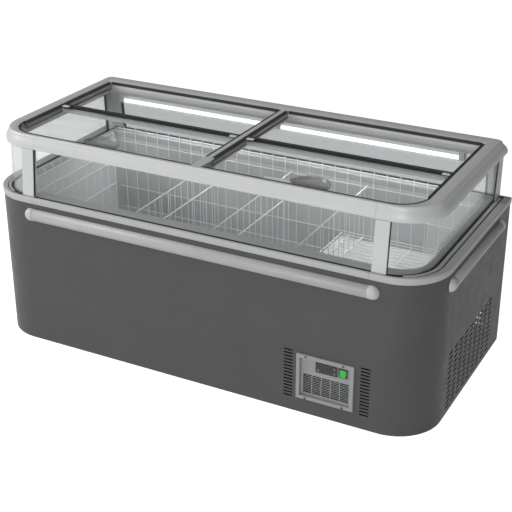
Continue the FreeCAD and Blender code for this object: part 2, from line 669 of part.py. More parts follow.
def lids():
    plan_wire = plan(LID_OUT_X, LID_FRONT_Y, BAR_Y1 - LID_SEAT, LID_CORNER_R, 1.0, UPPER_Z)
    both_panes = prism(plan_wire, LID_T)
    pane = both_panes.common(box(LID_IN_X, LID_OUT_X, FRONT, REAR, UPPER_Z, UPPER_Z + LID_T))
    hole_r = HANDLE_R - HANDLE_WALL
    hole = half_moon(hole_r, HANDLE_WALL, UPPER_Z - 1.0, UPPER_Z + LID_T + 1.0)
    pane = pane.cut(hole)

    bar_x0 = BEAM_WEB + CHANNEL_GAP + CHANNEL_W + BAR_END_GAP
    bar_x1 = OPEN_HALF_X - CHANNEL_W - BAR_END_GAP
    g = CHANNEL_GAP
    stop = BAR_Y1 - LID_SEAT + g
    bar = polygon_x([(BAR_Y0, BAR_Z0), (BAR_Y1, BAR_Z0), (BAR_Y1, BAR_Z1), (BAR_Y0, BAR_Z1),
                     (BAR_Y0, UPPER_Z + LID_T + g), (stop, UPPER_Z + LID_T + g), (stop, UPPER_Z - g),
                     (BAR_Y0, UPPER_Z - g)], bar_x0, bar_x1)

    lip_z = UPPER_Z + LID_T + g
    upper = half_moon(HANDLE_R, 0.0, lip_z, HANDLE_TOP)
    dish = half_moon(hole_r - GASKET_GAP, HANDLE_WALL + GASKET_GAP, HANDLE_DISH, lip_z)
    hollow = half_moon(hole_r - HANDLE_WALL, 2 * HANDLE_WALL, HANDLE_DISH + HANDLE_FLOOR, HANDLE_TOP + 1.0)
    handle = upper.fuse(dish).cut(hollow)
    save("front_lid_right_glass", pane)
    save("front_lid_right_bar", bar)
    save("front_lid_right_handle", handle)
    save("front_lid_left_glass", mirrored(pane))
    save("front_lid_left_bar", mirrored(bar))
    save("front_lid_left_handle", mirrored(handle))

    rear_pane = box(LID_IN_X, LID_OUT_X, TRIM_Y0 + LID_SEAT, REAR_LID_Y1, LOWER_Z, LOWER_Z + LID_T)
    stop = TRIM_Y0 + LID_SEAT - g
    trim = polygon_x([(TRIM_Y0, TRIM_Z0), (TRIM_Y1, TRIM_Z0), (TRIM_Y1, LOWER_Z - g), (stop, LOWER_Z - g),
                      (stop, LOWER_Z + LID_T + g), (TRIM_Y1, LOWER_Z + LID_T + g), (TRIM_Y1, TRIM_Z1),
                      (TRIM_Y0, TRIM_Z1)], bar_x0, bar_x1)
    save("rear_lid_right_glass", rear_pane)
    save("rear_lid_right_trim", trim)
    save("rear_lid_left_glass", mirrored(rear_pane))
    save("rear_lid_left_trim", mirrored(trim))


def lights():
    tubes = [rod((a, TUBE_Y, TUBE_Z), (b, TUBE_Y, TUBE_Z), TUBE_R) for a, b in TUBE_SPANS]
    save("led_tubes", group(tubes))
    socket = HOLDER_L / 2
    (a0, a1), (b0, b1) = TUBE_SPANS
    holders = []
    for x0, x1 in ((a0 - socket, a0 + socket), (a1 - socket, b0 + socket), (b1 - socket, b1 + socket)):
        half_w = TUBE_R + HOLDER_RIM
        block = box(x0, x1, TUBE_Y - half_w, TUBE_Y + half_w, TUBE_Z - HOLDER_UNDER, FRAME_BOT)
        f = HOLDER_FIT
        for a, b in TUBE_SPANS:
            block = block.cut(rod((a - f, TUBE_Y, TUBE_Z), (b + f, TUBE_Y, TUBE_Z), TUBE_R + f))
        holders.append(block)
    save("led_holders", group(holders))


def long_fence(side, rails, tall):
    """A wire fence along the front or rear wall, stepped where the tub's floor steps up."""
    y_rail = side * (TUB_Y - FENCE_OFF)
    y_wire = side * (TUB_Y - FENCE_OFF - WELD)
    reach = TUB_X - FENCE_END
    if side < 0:
        reach = TUB_X - TUB_R + FENCE_CORNER
    step_x = STEP_X - FENCE_CUT
    pieces = []
    for z in rails:
        x1 = reach if z > STEP_Z + 10.0 else step_x
        pieces.append(rod((-reach, y_rail, z), (x1, y_rail, z), RAIL_R))
    first = DIVIDER_X[0] + PITCH / 2
    count_low = math.ceil((-reach + 4.0 - first) / PITCH)
    count_high = math.floor((reach - 4.0 - first) / PITCH)
    for i in range(count_low, count_high + 1):
        x = first + i * PITCH
        foot = STEP_Z if x > step_x else FLOOR_Z
        pieces.append(rod((x, y_wire, foot), (x, y_wire, tall), WIRE_R))
    return fused(pieces).cut(box(step_x, step_x + FENCE_SPLIT, FRONT, REAR, FLOOR_Z, tall))


def end_fence(x_sign, floor, rails):
    x_rail = x_sign * (TUB_X - FENCE_OFF)
    x_wire = x_sign * (TUB_X - FENCE_OFF - WELD)
    front_reach = -TUB_Y + TUB_R - TUB_REAR_R
    rear_reach = TUB_Y - FENCE_OFF - 18.0
    pieces = [rod((x_rail, front_reach, z), (x_rail, rear_reach, z), RAIL_R) for z in rails]
    bend = rails[-1] + HOOK_RISE
    hook_x = x_sign * (TUB_X - HOOK_GAP)
    for y in spread((front_reach + HOOK_RISE, rear_reach - HOOK_RISE), END_WIRES):
        pieces.append(rod((x_wire, y, floor), (x_wire, y, bend), WIRE_R))
        pieces.append(Part.makeSphere(WIRE_R, V(x_wire, y, bend)))
        pieces.append(rod((x_wire, y, bend), (hook_x, y, bend + HOOK_LIFT), WIRE_R))
    return fused(pieces)


def divider(x, foot, middle):
    hang = HANG_Z + RAIL_R + BAR_R + CHANNEL_GAP
    reach = TUB_Y - FENCE_OFF + 6.0
    inner = TUB_Y - FENCE_OFF - DIVIDER_SHORT
    wire_x = x + BAR_R + WIRE_R - 0.5
    pieces = [rod((x, -reach, hang), (x, reach, hang), BAR_R)]
    for z in [foot] + middle:
        pieces.append(rod((x, -inner, z), (x, inner, z), BAR_R))
    for y in spread((-inner + 6.0, inner - 6.0), DIVIDER_WIRES):
        pieces.append(rod((wire_x, y, foot - 1.0), (wire_x, y, hang + 1.0), WIRE_R))
    return fused(pieces)


def shelf():
    x0 = STEP_X + 8.0
    x1 = TUB_X - FENCE_OFF - SHELF_END
    reach = TUB_Y - 28.0
    front_reach = -TUB_Y + FENCE_END
    turn = x1 - SHELF_TURN
    pieces = []
    ys = spread((front_reach, reach), SHELF_WIRES)
    for y in ys:
        end = turn if y < front_reach + 50.0 else x1
        pieces.append(rod((x0 - 2.0, y, SHELF_Z), (end, y, SHELF_Z), WIRE_R))
    for x in (x0 + SHELF_RUNNERS[0], x0 + SHELF_RUNNERS[1], x1 - 3.0):
        start = ys[2] - 3.0 if x > turn else front_reach - 3.0
        pieces.append(rod((x, start, SHELF_Z - WELD), (x, reach + 3.0, SHELF_Z - WELD), RAIL_R))
        for y in (ys[3], ys[-4]):
            pieces.append(rod((x, y + 6.0, STEP_Z), (x, y + 6.0, SHELF_Z - WELD), WIRE_R))
    for x in (x0, x0 + SHELF_STRAP):
        pieces.append(rod((x, front_reach - 3.0, SHELF_Z + WELD), (x, reach + 3.0, SHELF_Z + WELD), RAIL_R))
    return fused(pieces)


def goods_wires():
    save("rear_fence", long_fence(1, FENCE_RAILS, FENCE_RAILS[-1] + FENCE_TALL_UP))
    save("front_fence", long_fence(-1, FENCE_RAILS[:-1], HANG_Z + 8.0))
    save("end_fence_left", end_fence(-1, FLOOR_Z, END_RAILS))
    save("end_fence_right", end_fence(1, STEP_Z, [z for z in END_RAILS if z > STEP_Z]))
    low = FLOOR_Z + DIVIDER_FOOT
    middle = [HANG_Z - DIVIDER_MID_DROP]
    save("dividers", group([divider(DIVIDER_X[0], low, middle), divider(DIVIDER_X[1], low, middle),
                            divider(DIVIDER_X[2], SHELF_Z + 2 * WELD + BAR_R, [])]))
    save("raised_shelf", shelf())


def bumper_core(radius_extra, start, end):
    """A half-round rail along X, its flat back on the plane y = 0 and its bulge towards -Y."""
    radius = (BUMPER_HALF ** 2 + BUMPER_OUT ** 2) / (2 * BUMPER_OUT)
    back = radius - BUMPER_OUT
    core = rod((start, back, 0), (end, back, 0), radius + radius_extra)
    return core, radius + radius_extra, back


def bumper(length):
    """Returns the rail and its two end caps, centred on X."""
    half = length / 2
    front_side = box(-half - 50.0, half + 50.0, -60.0, 0.0, -60.0, 60.0)
    inner = half - BUMPER_CAP
    core, radius, back = bumper_core(0.0, -inner, inner)
    rail = core.common(front_side)
    cap_core, cap_radius, back = bumper_core(CAP_EXTRA, inner, half - BUMPER_CAP / 2)
    nose = Part.makeSphere(cap_radius, V(half - BUMPER_CAP / 2, back, 0))
    cap = cap_core.fuse(nose).common(front_side)
    cap = cap.common(box(inner, half + 50.0, -60.0, 0.0, -60.0, 60.0))
    return rail, cap, mirrored(cap)


def bumpers():
    rails = []
    caps = []
    rail, cap, other = bumper(2 * BUMPER_X)
    for piece, bucket in ((rail, rails), (cap, caps), (other, caps)):
        piece.translate(V(0, FRONT, BUMPER_Z))
        bucket.append(piece)
    y0, y1 = BUMPER_SIDE_Y
    rail, cap, other = bumper(y1 - y0)
    for piece, bucket in ((rail, rails), (cap, caps), (other, caps)):
        piece.rotate(V(0, 0, 0), V(0, 0, 1), 90.0)
        piece.translate(V(HALF_X, (y0 + y1) / 2, BUMPER_Z))
        bucket.append(piece)
        bucket.append(mirrored(piece))
    save("bumper_rails", group(rails))
    save("bumper_caps", group(caps))


def controls():
    x0, x1 = BEZEL_X
    z0, z1 = BEZEL_Z
    bezel = box(x0, x1, FRONT - BEZEL_OUT, FRONT, z0, z1)
    bezel = bezel.makeFillet(BEZEL_ROUND, [e for e in bezel.Edges if e.BoundBox.YMin < FRONT - BEZEL_OUT + 0.1
                                   or e.Length < BEZEL_OUT + 0.1])
    ix0 = x0 + BEZEL_RIM
    ix1 = x1 - BEZEL_RIM
    iz0 = z0 + BEZEL_RIM
    iz1 = z1 - BEZEL_RIM
    depth = FRONT + PANEL_BACK
    lap = PANEL_LAP
    tube = box(ix0 - lap, ix1 + lap, FRONT, depth, iz0 - lap, iz1 + lap)
    bezel = bezel.fuse(tube).cut(box(ix0 + 1.0, ix1 - 1.0, FRONT - 20.0, depth, iz0 + 1.0, iz1 - 1.0))
    holes = [rod((x, FRONT - 20.0, z), (x, FRONT + 1.0, z), 2.2)
             for x in SCREW_X for z in (z0 + BEZEL_RIM / 2, z1 - BEZEL_RIM / 2)]
    bezel = bezel.cut(group(holes))
    save("control_bezel", bezel)

    screws = []
    for x in SCREW_X:
        for z in (z0 + BEZEL_RIM / 2, z1 - BEZEL_RIM / 2):
            head = rod((x, FRONT - BEZEL_OUT - 2.0, z), (x, FRONT - BEZEL_OUT, z), SCREW_R)
            head = head.cut(box(x - 3.0, x + 3.0, FRONT - 20.0, FRONT - BEZEL_OUT - 1.0, z - 0.5, z + 0.5))
            shank = rod((x, FRONT - BEZEL_OUT, z), (x, FRONT, z), 2.0)
            screws.append(head.fuse(shank))
    save("bezel_screws", group(screws))

    plate = box(ix0 - lap, ix1 + lap, depth, depth + PANEL_T, iz0 - lap, iz1 + lap)
    gx0, gx1 = GRILLE_X
    gz0, gz1 = GRILLE_Z
    slot_w = (gx1 - gx0) / GRILLE_COLS
    slot_h = (gz1 - gz0) / GRILLE_ROWS
    post = GRILLE_POST / 2
    blade = GRILLE_BLADE / 2
    cut_y0 = depth - 1.0
    cut_y1 = depth + PANEL_T + 1.0
    cuts = []
    for i in range(GRILLE_COLS):
        for k in range(GRILLE_ROWS):
            x = gx0 + i * slot_w
            z = gz0 + k * slot_h
            cuts.append(box(x + post, x + slot_w - post, cut_y0, cut_y1, z + blade, z + slot_h - blade))
    mx0, mx1 = METER_X
    mz0, mz1 = METER_Z
    rx0, rx1 = ROCKER_X
    rz0, rz1 = ROCKER_Z
    fit = GASKET_GAP
    m = METER_RIM
    r = ROCKER_RIM
    cuts.append(box(mx0 + m - fit, mx1 - m + fit, cut_y0, cut_y1, mz0 + m - fit, mz1 - m + fit))
    cuts.append(box(rx0 + r - fit, rx1 - r + fit, cut_y0, cut_y1, rz0 + r - fit, rz1 - r + fit))
    save("control_plate", plate.cut(group(cuts)))

    face_y = depth - FACE_OUT
    meter = box(mx0, mx1, face_y, depth, mz0, mz1)
    meter = meter.fuse(box(mx0 + m, mx1 - m, depth, depth + METER_DEPTH, mz0 + m, mz1 - m))
    keys = (("key_set", mx0 + KEY_IN, mz0 + KEY_IN), ("key_down", mx1 - KEY_IN, mz0 + KEY_IN),
            ("key_up", mx1 - KEY_IN, mz1 - KEY_IN))
    key_y = face_y - KEY_PROUD
    for name, x, z in keys:
        meter = meter.cut(rod((x, key_y, z), (x, key_y + KEY_HOLE, z), KEY_R + PIN_FIT))
        save(name, rod((x, key_y, z), (x, key_y + KEY_LONG, z), KEY_R))
    save("thermostat", meter)

    mid_z = (rz0 + rz1) / 2
    axis_y = depth - 1.0
    housing = box(rx0, rx1, face_y, depth, rz0, rz1)
    housing = housing.fuse(box(rx0 + r, rx1 - r, depth, depth + ROCKER_DEPTH, rz0 + r, rz1 - r))
    housing = housing.cut(box(rx0 + 5.0, rx1 - 5.0, face_y - 1.0, depth + 14.0, rz0 + 4.5, rz1 - 4.5))
    housing = housing.cut(rod((rx0 + 3.5, axis_y, mid_z), (rx1 - 3.5, axis_y, mid_z), PIN_R + PIN_FIT))
    half_h = (rz1 - rz0) / 2 - 5.5
    profile = [(face_y - 1.0, mid_z + half_h), (face_y + 1.0, mid_z), (face_y - 3.5, mid_z - half_h),
               (axis_y + 2.0, mid_z - half_h), (axis_y + 7.0, mid_z), (axis_y + 2.0, mid_z + half_h)]
    rocker = polygon_x(profile, rx0 + 5.5, rx1 - 5.5)
    rocker = rocker.fuse(rod((rx0 + 3.8, axis_y, mid_z), (rx1 - 3.8, axis_y, mid_z), PIN_R))
    save("rocker_housing", housing)
    save("rocker", rocker)


def compressor(floor):
    half_x, half_y, plate_t = COMP_PLATE
    foot_x = half_x - COMP_FOOT_IN
    foot_y = half_y - COMP_FOOT_IN
    plate_z = floor + COMP_FOOT_H
    pot_z = plate_z + plate_t
    dome_z = pot_z + COMP_POT_H
    feet = [Part.makeCylinder(COMP_FOOT_R, COMP_FOOT_H, V(COMP_X + dx, COMP_Y + dy, floor))
            for dx in (-foot_x, foot_x) for dy in (-foot_y, foot_y)]
    plate = box(COMP_X - half_x, COMP_X + half_x, COMP_Y - half_y, COMP_Y + half_y, plate_z, pot_z)
    pot = Part.makeCylinder(COMP_R, COMP_POT_H, V(COMP_X, COMP_Y, pot_z))
    dome = Part.makeSphere(COMP_R, V(COMP_X, COMP_Y, dome_z))
    cap = Part.makeCylinder(COMP_R, COMP_DOME_H, V(COMP_X, COMP_Y, dome_z))
    save("compressor", fused(feet + [plate, pot, dome.common(cap)]))


def condenser(floor):
    cx0, cx1 = COIL_X
    cy0, cy1 = COIL_Y
    cz0, cz1 = COIL_Z
    t = COIL_PLATE_T
    core = box(cx0 + COIL_BEND + 1.0, cx1 - COIL_BEND - 1.0, cy0, cy1, cz0, cz1)
    plates = [box(x, x + t, cy0 - t, cy1, floor, cz1 + 6.0) for x in (cx0 + 5.0, cx1 - 5.0 - t)]
    bends = []
    row_y0 = cy0 + COIL_ROW_IN
    row_y1 = cy1 - COIL_ROW_IN
    for i in range(COIL_ROWS):
        z = cz0 + COIL_ROW_UP + i * COIL_ROW_PITCH
        for side, x in ((-1, cx0 + 5.0), (1, cx1 - 5.0)):
            out = x + side * COIL_BEND
            for y in (row_y0, row_y1):
                bends.append(rod((x, y, z), (out, y, z), COIL_TUBE_R))
            bends.append(rod((out, row_y0 - COIL_TUBE_R, z), (out, row_y1 + COIL_TUBE_R, z), COIL_TUBE_R))
    save("condenser", fused([core] + plates + bends))


def fan(floor):
    fy0 = COIL_Y[1]
    fy1 = fy0 + FAN_T
    half = FAN_R + FAN_RIM
    frame = box(FAN_X - half, FAN_X + half, fy0, fy1, floor, FAN_Z + half)
    frame = frame.cut(rod((FAN_X, fy0 - 1.0, FAN_Z), (FAN_X, fy1 + 1.0, FAN_Z), FAN_R + FAN_GAP))
    motor = rod((FAN_X, fy1 + 2.0, FAN_Z), (FAN_X, fy1 + MOTOR_L, FAN_Z), MOTOR_R)
    bore_end = fy1 + MOTOR_L - 10.0
    motor = motor.cut(rod((FAN_X, fy1 + 1.0, FAN_Z), (FAN_X, bore_end, FAN_Z), SHAFT_R + SHAFT_FIT))
    arms = []
    for k in range(4):
        arm = box(MOTOR_R - 4.0, half + 2.0, fy1, fy1 + 6.0, -3.0, 3.0)
        arm.rotate(V(0, 0, 0), V(0, 1, 0), 45.0 + 90.0 * k)
        arm.translate(V(FAN_X, 0, FAN_Z))
        arms.append(arm)
    save("fan_frame", fused([frame, motor] + arms))

    hub_y0 = fy0 + 5.0
    hub_y1 = fy1 - 2.0
    hub = rod((FAN_X, hub_y0, FAN_Z), (FAN_X, hub_y1, FAN_Z), HUB_R)
    shaft = rod((FAN_X, hub_y1, FAN_Z), (FAN_X, bore_end - 2.0, FAN_Z), SHAFT_R)
    blades = []
    for k in range(FAN_BLADES):
        blade = Part.makeBox(FAN_R - HUB_R + 2.0, 2.0, 34.0, V(HUB_R - 3.0, -1.0, -17.0))
        blade.rotate(V(0, 0, 0), V(1, 0, 0), FAN_TWIST)
        blade.translate(V(0, (hub_y0 + hub_y1) / 2, 0))
        blade.rotate(V(0, 0, 0), V(0, 1, 0), k * 360.0 / FAN_BLADES)
        blade.translate(V(FAN_X, 0, FAN_Z))
        blades.append(blade)
    limit = rod((FAN_X, hub_y0, FAN_Z), (FAN_X, hub_y1, FAN_Z), FAN_R)
    save("fan_rotor", fused([hub, shaft] + [blade.common(limit) for blade in blades]))


def electrical_box():
    size_x, size_y, size_z = ECU_SIZE
    x = BAY_WALL_X + ECU_X
    end = ECU_Y + size_y
    mid_x = x + size_x / 2
    mid_z = BAY_TOP - size_z / 2
    case = box(x, x + size_x, ECU_Y, end, BAY_TOP - size_z, BAY_TOP)
    gland = rod((mid_x, end, mid_z), (mid_x, end + GLAND_L, mid_z), GLAND_R)
    gland = gland.cut(rod((mid_x, end + 2.0, mid_z), (mid_x, end + GLAND_L + 2.0, mid_z), GLAND_BORE))
    save("electrical_box", case.fuse(gland))


def discharge_pipe(floor):
    end_y = COIL_Y[1] - COIL_ROW_IN
    end_z = COIL_Z[0] + COIL_ROW_UP + (COIL_ROWS - 1) * COIL_ROW_PITCH
    out_x = COMP_X - PIPE_OFF
    out_y = COMP_Y - math.sqrt(COMP_R ** 2 - (PIPE_OFF - PIPE_R) ** 2) - GASKET_GAP
    z = floor + PIPE_UP
    path = [(out_x, out_y, z), (out_x, PIPE_TURN_Y, z), (out_x, PIPE_TURN_Y, end_z), (out_x, end_y, end_z),
            (COIL_X[1] + COIL_BEND - 0.5, end_y, end_z)]
    pieces = [rod(a, b, PIPE_R) for a, b in zip(path, path[1:])]
    pieces += [Part.makeSphere(PIPE_R, V(*p)) for p in path[1:-1]]
    save("discharge_pipe", fused(pieces))


def machine_bay():
    floor = FOOT_H + SHEET
    compressor(floor)
    condenser(floor)
    fan(floor)
    electrical_box()
    discharge_pipe(floor)


cabinet()
rim()
glazing()
top_frame()
lids()
lights()
goods_wires()
bumpers()
controls()
machine_bay()
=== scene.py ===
import json
import math
import bmesh
import bpy
from mathutils import Matrix, Vector


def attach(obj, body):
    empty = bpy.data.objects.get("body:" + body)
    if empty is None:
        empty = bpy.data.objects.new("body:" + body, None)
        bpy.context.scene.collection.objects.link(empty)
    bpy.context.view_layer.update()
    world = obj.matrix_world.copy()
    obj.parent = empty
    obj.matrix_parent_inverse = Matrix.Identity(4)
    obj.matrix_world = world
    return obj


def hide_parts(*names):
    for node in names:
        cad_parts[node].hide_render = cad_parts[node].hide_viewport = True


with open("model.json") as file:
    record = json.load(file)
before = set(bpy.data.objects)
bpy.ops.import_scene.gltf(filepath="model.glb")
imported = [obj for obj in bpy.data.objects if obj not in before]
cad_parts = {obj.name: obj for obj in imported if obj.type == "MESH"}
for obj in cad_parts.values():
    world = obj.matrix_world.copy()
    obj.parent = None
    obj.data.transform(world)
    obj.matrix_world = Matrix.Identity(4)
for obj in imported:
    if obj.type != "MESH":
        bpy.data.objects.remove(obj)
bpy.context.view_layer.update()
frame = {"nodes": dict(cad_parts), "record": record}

scene = bpy.context.scene
nodes = frame["nodes"]

# ------------------------------------------------------------------ camera
camera = bpy.data.objects.new("Camera", bpy.data.cameras.new("Camera"))
camera.data.lens = 82.33
camera.data.sensor_width = 36.0
camera.location = (1.988, -3.7029, 2.369)
camera.rotation_euler = (math.radians(64.48), 0.0, math.radians(27.63))
camera.data.clip_end = 200.0
scene.collection.objects.link(camera)
scene.camera = camera
scene.view_settings.view_transform = "Standard"


# ------------------------------------------------------------------ node helpers
PLASTIC_IOR, GLASS_IOR = 1.5, 1.45
COAT_ROUGHNESS = 0.12
GRAIN_DEPTH = 0.0004


def new_material(name):
    mat = bpy.data.materials.new(name)
    mat.use_nodes = True
    nt = mat.node_tree
    nt.nodes.clear()
    out = nt.nodes.new("ShaderNodeOutputMaterial")
    return mat, nt, out


def noise(nt, scale, detail=3.0, rough=0.5):
    """Noise in the piece's own metres."""
    coords = nt.nodes.new("ShaderNodeTexCoord")
    tex = nt.nodes.new("ShaderNodeTexNoise")
    tex.inputs["Scale"].default_value = scale
    tex.inputs["Detail"].default_value = detail
    tex.inputs["Roughness"].default_value = rough
    nt.links.new(coords.outputs["Object"], tex.inputs["Vector"])
    return tex.outputs["Fac"]


def span(nt, fac, lo, hi, a=0.3, b=0.7):
    """Maps fac from a..b to lo..hi."""
    node = nt.nodes.new("ShaderNodeMapRange")
    node.inputs["From Min"].default_value = a
    node.inputs["From Max"].default_value = b
    node.inputs["To Min"].default_value = lo
    node.inputs["To Max"].default_value = hi
    nt.links.new(fac, node.inputs["Value"])
    return node.outputs["Result"]


def mix_colour(nt, fac, a, b):
    """Blends a and b, each a colour or a socket."""
    node = nt.nodes.new("ShaderNodeMix")
    node.data_type = "RGBA"
    for key, value in (("Factor", fac), ("A", a), ("B", b)):
        socket = next(s for s in node.inputs if s.name == key and s.type in ("VALUE", "RGBA")
                      and (key == "Factor") == (s.type == "VALUE"))
        if isinstance(value, (tuple, list)):
            socket.default_value = (*value, 1.0)
        elif isinstance(value, (int, float)):
            socket.default_value = value
        else:
            nt.links.new(value, socket)
    return next(s for s in node.outputs if s.type == "RGBA")


def surface(name, colour, rough=0.45, vary=0.06, grain=900.0, bump=0.02, metal=0.0, coat=0.0, cloud=7.0,
            shine=0.5):
    """A moulded, painted or metal surface: cloudy colour drift, smeared gloss and a fine grain in relief."""
    mat, nt, out = new_material(name)
    p = nt.nodes.new("ShaderNodeBsdfPrincipled")
    p.inputs["Metallic"].default_value = metal
    p.inputs["IOR"].default_value = PLASTIC_IOR
    p.inputs["Specular IOR Level"].default_value = shine
    p.inputs["Coat Weight"].default_value = coat
    p.inputs["Coat Roughness"].default_value = COAT_ROUGHNESS
    low = tuple(c * (1.0 - vary) for c in colour)
    high = tuple(min(1.0, c * (1.0 + vary)) for c in colour)
    drift = noise(nt, cloud, 4.0, 0.6)
    tint = mix_colour(nt, span(nt, drift, 0.0, 1.0), low, high)
    fine = noise(nt, grain, 2.0, 0.5)
    speck = mix_colour(nt, span(nt, fine, 0.0, 0.35), tint, high)
    nt.links.new(speck, p.inputs["Base Color"])
    smear = noise(nt, 22.0, 3.0, 0.6)
    nt.links.new(span(nt, smear, max(0.02, rough - 0.06), min(1.0, rough + 0.06)), p.inputs["Roughness"])
    relief = nt.nodes.new("ShaderNodeBump")
    relief.inputs["Strength"].default_value = bump
    relief.inputs["Distance"].default_value = GRAIN_DEPTH
    nt.links.new(fine, relief.inputs["Height"])
    nt.links.new(relief.outputs["Normal"], p.inputs["Normal"])
    nt.links.new(p.outputs["BSDF"], out.inputs["Surface"])
    return mat


def glass(name, tint, strength=0.35):
    """Clear sheet glass: light passes straight through, more mirror at grazing angles, faint smears."""
    mat, nt, out = new_material(name)
    clear = nt.nodes.new("ShaderNodeBsdfTransparent")
    clear.inputs["Color"].default_value = (*tint, 1.0)
    shine = nt.nodes.new("ShaderNodeBsdfPrincipled")
    shine.inputs["Base Color"].default_value = (*tuple(c * 0.9 for c in tint), 1.0)
    shine.inputs["Metallic"].default_value = 1.0
    smear = noise(nt, 9.0, 4.0, 0.65)
    nt.links.new(span(nt, smear, 0.015, 0.06), shine.inputs["Roughness"])
    fresnel = nt.nodes.new("ShaderNodeFresnel")
    fresnel.inputs["IOR"].default_value = GLASS_IOR
    scale = nt.nodes.new("ShaderNodeMath")
    scale.operation = "MULTIPLY"
    scale.inputs[1].default_value = strength
    nt.links.new(fresnel.outputs["Fac"], scale.inputs[0])
    mix = nt.nodes.new("ShaderNodeMixShader")
    nt.links.new(scale.outputs[0], mix.inputs[0])
    nt.links.new(clear.outputs[0], mix.inputs[1])
    nt.links.new(shine.outputs[0], mix.inputs[2])
    nt.links.new(mix.outputs[0], out.inputs["Surface"])
    return mat


def glowing(name, colour, strength, base):
    """A lit plastic cover."""
    mat, nt, out = new_material(name)
    p = nt.nodes.new("ShaderNodeBsdfPrincipled")
    cloud = noise(nt, 60.0, 2.0, 0.5)
    tint = mix_colour(nt, span(nt, cloud, 0.0, 1.0), tuple(c * 0.92 for c in base), base)
    nt.links.new(tint, p.inputs["Base Color"])
    p.inputs["Roughness"].default_value = 0.35
    p.inputs["Emission Color"].default_value = (*colour, 1.0)
    p.inputs["Emission Strength"].default_value = strength
    nt.links.new(p.outputs[0], out.inputs["Surface"])
    return mat


def two_tone(name, low_colour, high_colour, height):
    """An extrusion with a soft dark edge strip along its top."""
    mat, nt, out = new_material(name)
    p = nt.nodes.new("ShaderNodeBsdfPrincipled")
    coords = nt.nodes.new("ShaderNodeTexCoord")
    split = nt.nodes.new("ShaderNodeSeparateXYZ")
    nt.links.new(coords.outputs["Object"], split.inputs[0])
    cloud = span(nt, noise(nt, 30.0), 0.92, 1.0)
    edge = span(nt, split.outputs["Z"], 0.0, 1.0, height - 0.0004, height + 0.0004)
    tone = mix_colour(nt, edge, low_colour, high_colour)
    soft = mix_colour(nt, cloud, tuple(c * 0.8 for c in low_colour), tone)
    nt.links.new(soft, p.inputs["Base Color"])
    nt.links.new(span(nt, noise(nt, 50.0), 0.40, 0.52), p.inputs["Roughness"])
    nt.links.new(p.outputs[0], out.inputs["Surface"])
    return mat


def tinted(name, colour, cover):
    """A see-through moulding or film: part of the light passes, the rest shades like plastic."""
    mat, nt, out = new_material(name)
    clear = nt.nodes.new("ShaderNodeBsdfTransparent")
    p = nt.nodes.new("ShaderNodeBsdfPrincipled")
    cloud = noise(nt, 14.0, 3.0, 0.5)
    tint = mix_colour(nt, span(nt, cloud, 0.0, 1.0), tuple(c * 0.9 for c in colour), colour)
    nt.links.new(tint, p.inputs["Base Color"])
    nt.links.new(span(nt, noise(nt, 30.0), 0.12, 0.24), p.inputs["Roughness"])
    mix = nt.nodes.new("ShaderNodeMixShader")
    mix.inputs[0].default_value = cover
    nt.links.new(clear.outputs[0], mix.inputs[1])
    nt.links.new(p.outputs[0], mix.inputs[2])
    nt.links.new(mix.outputs[0], out.inputs["Surface"])
    return mat


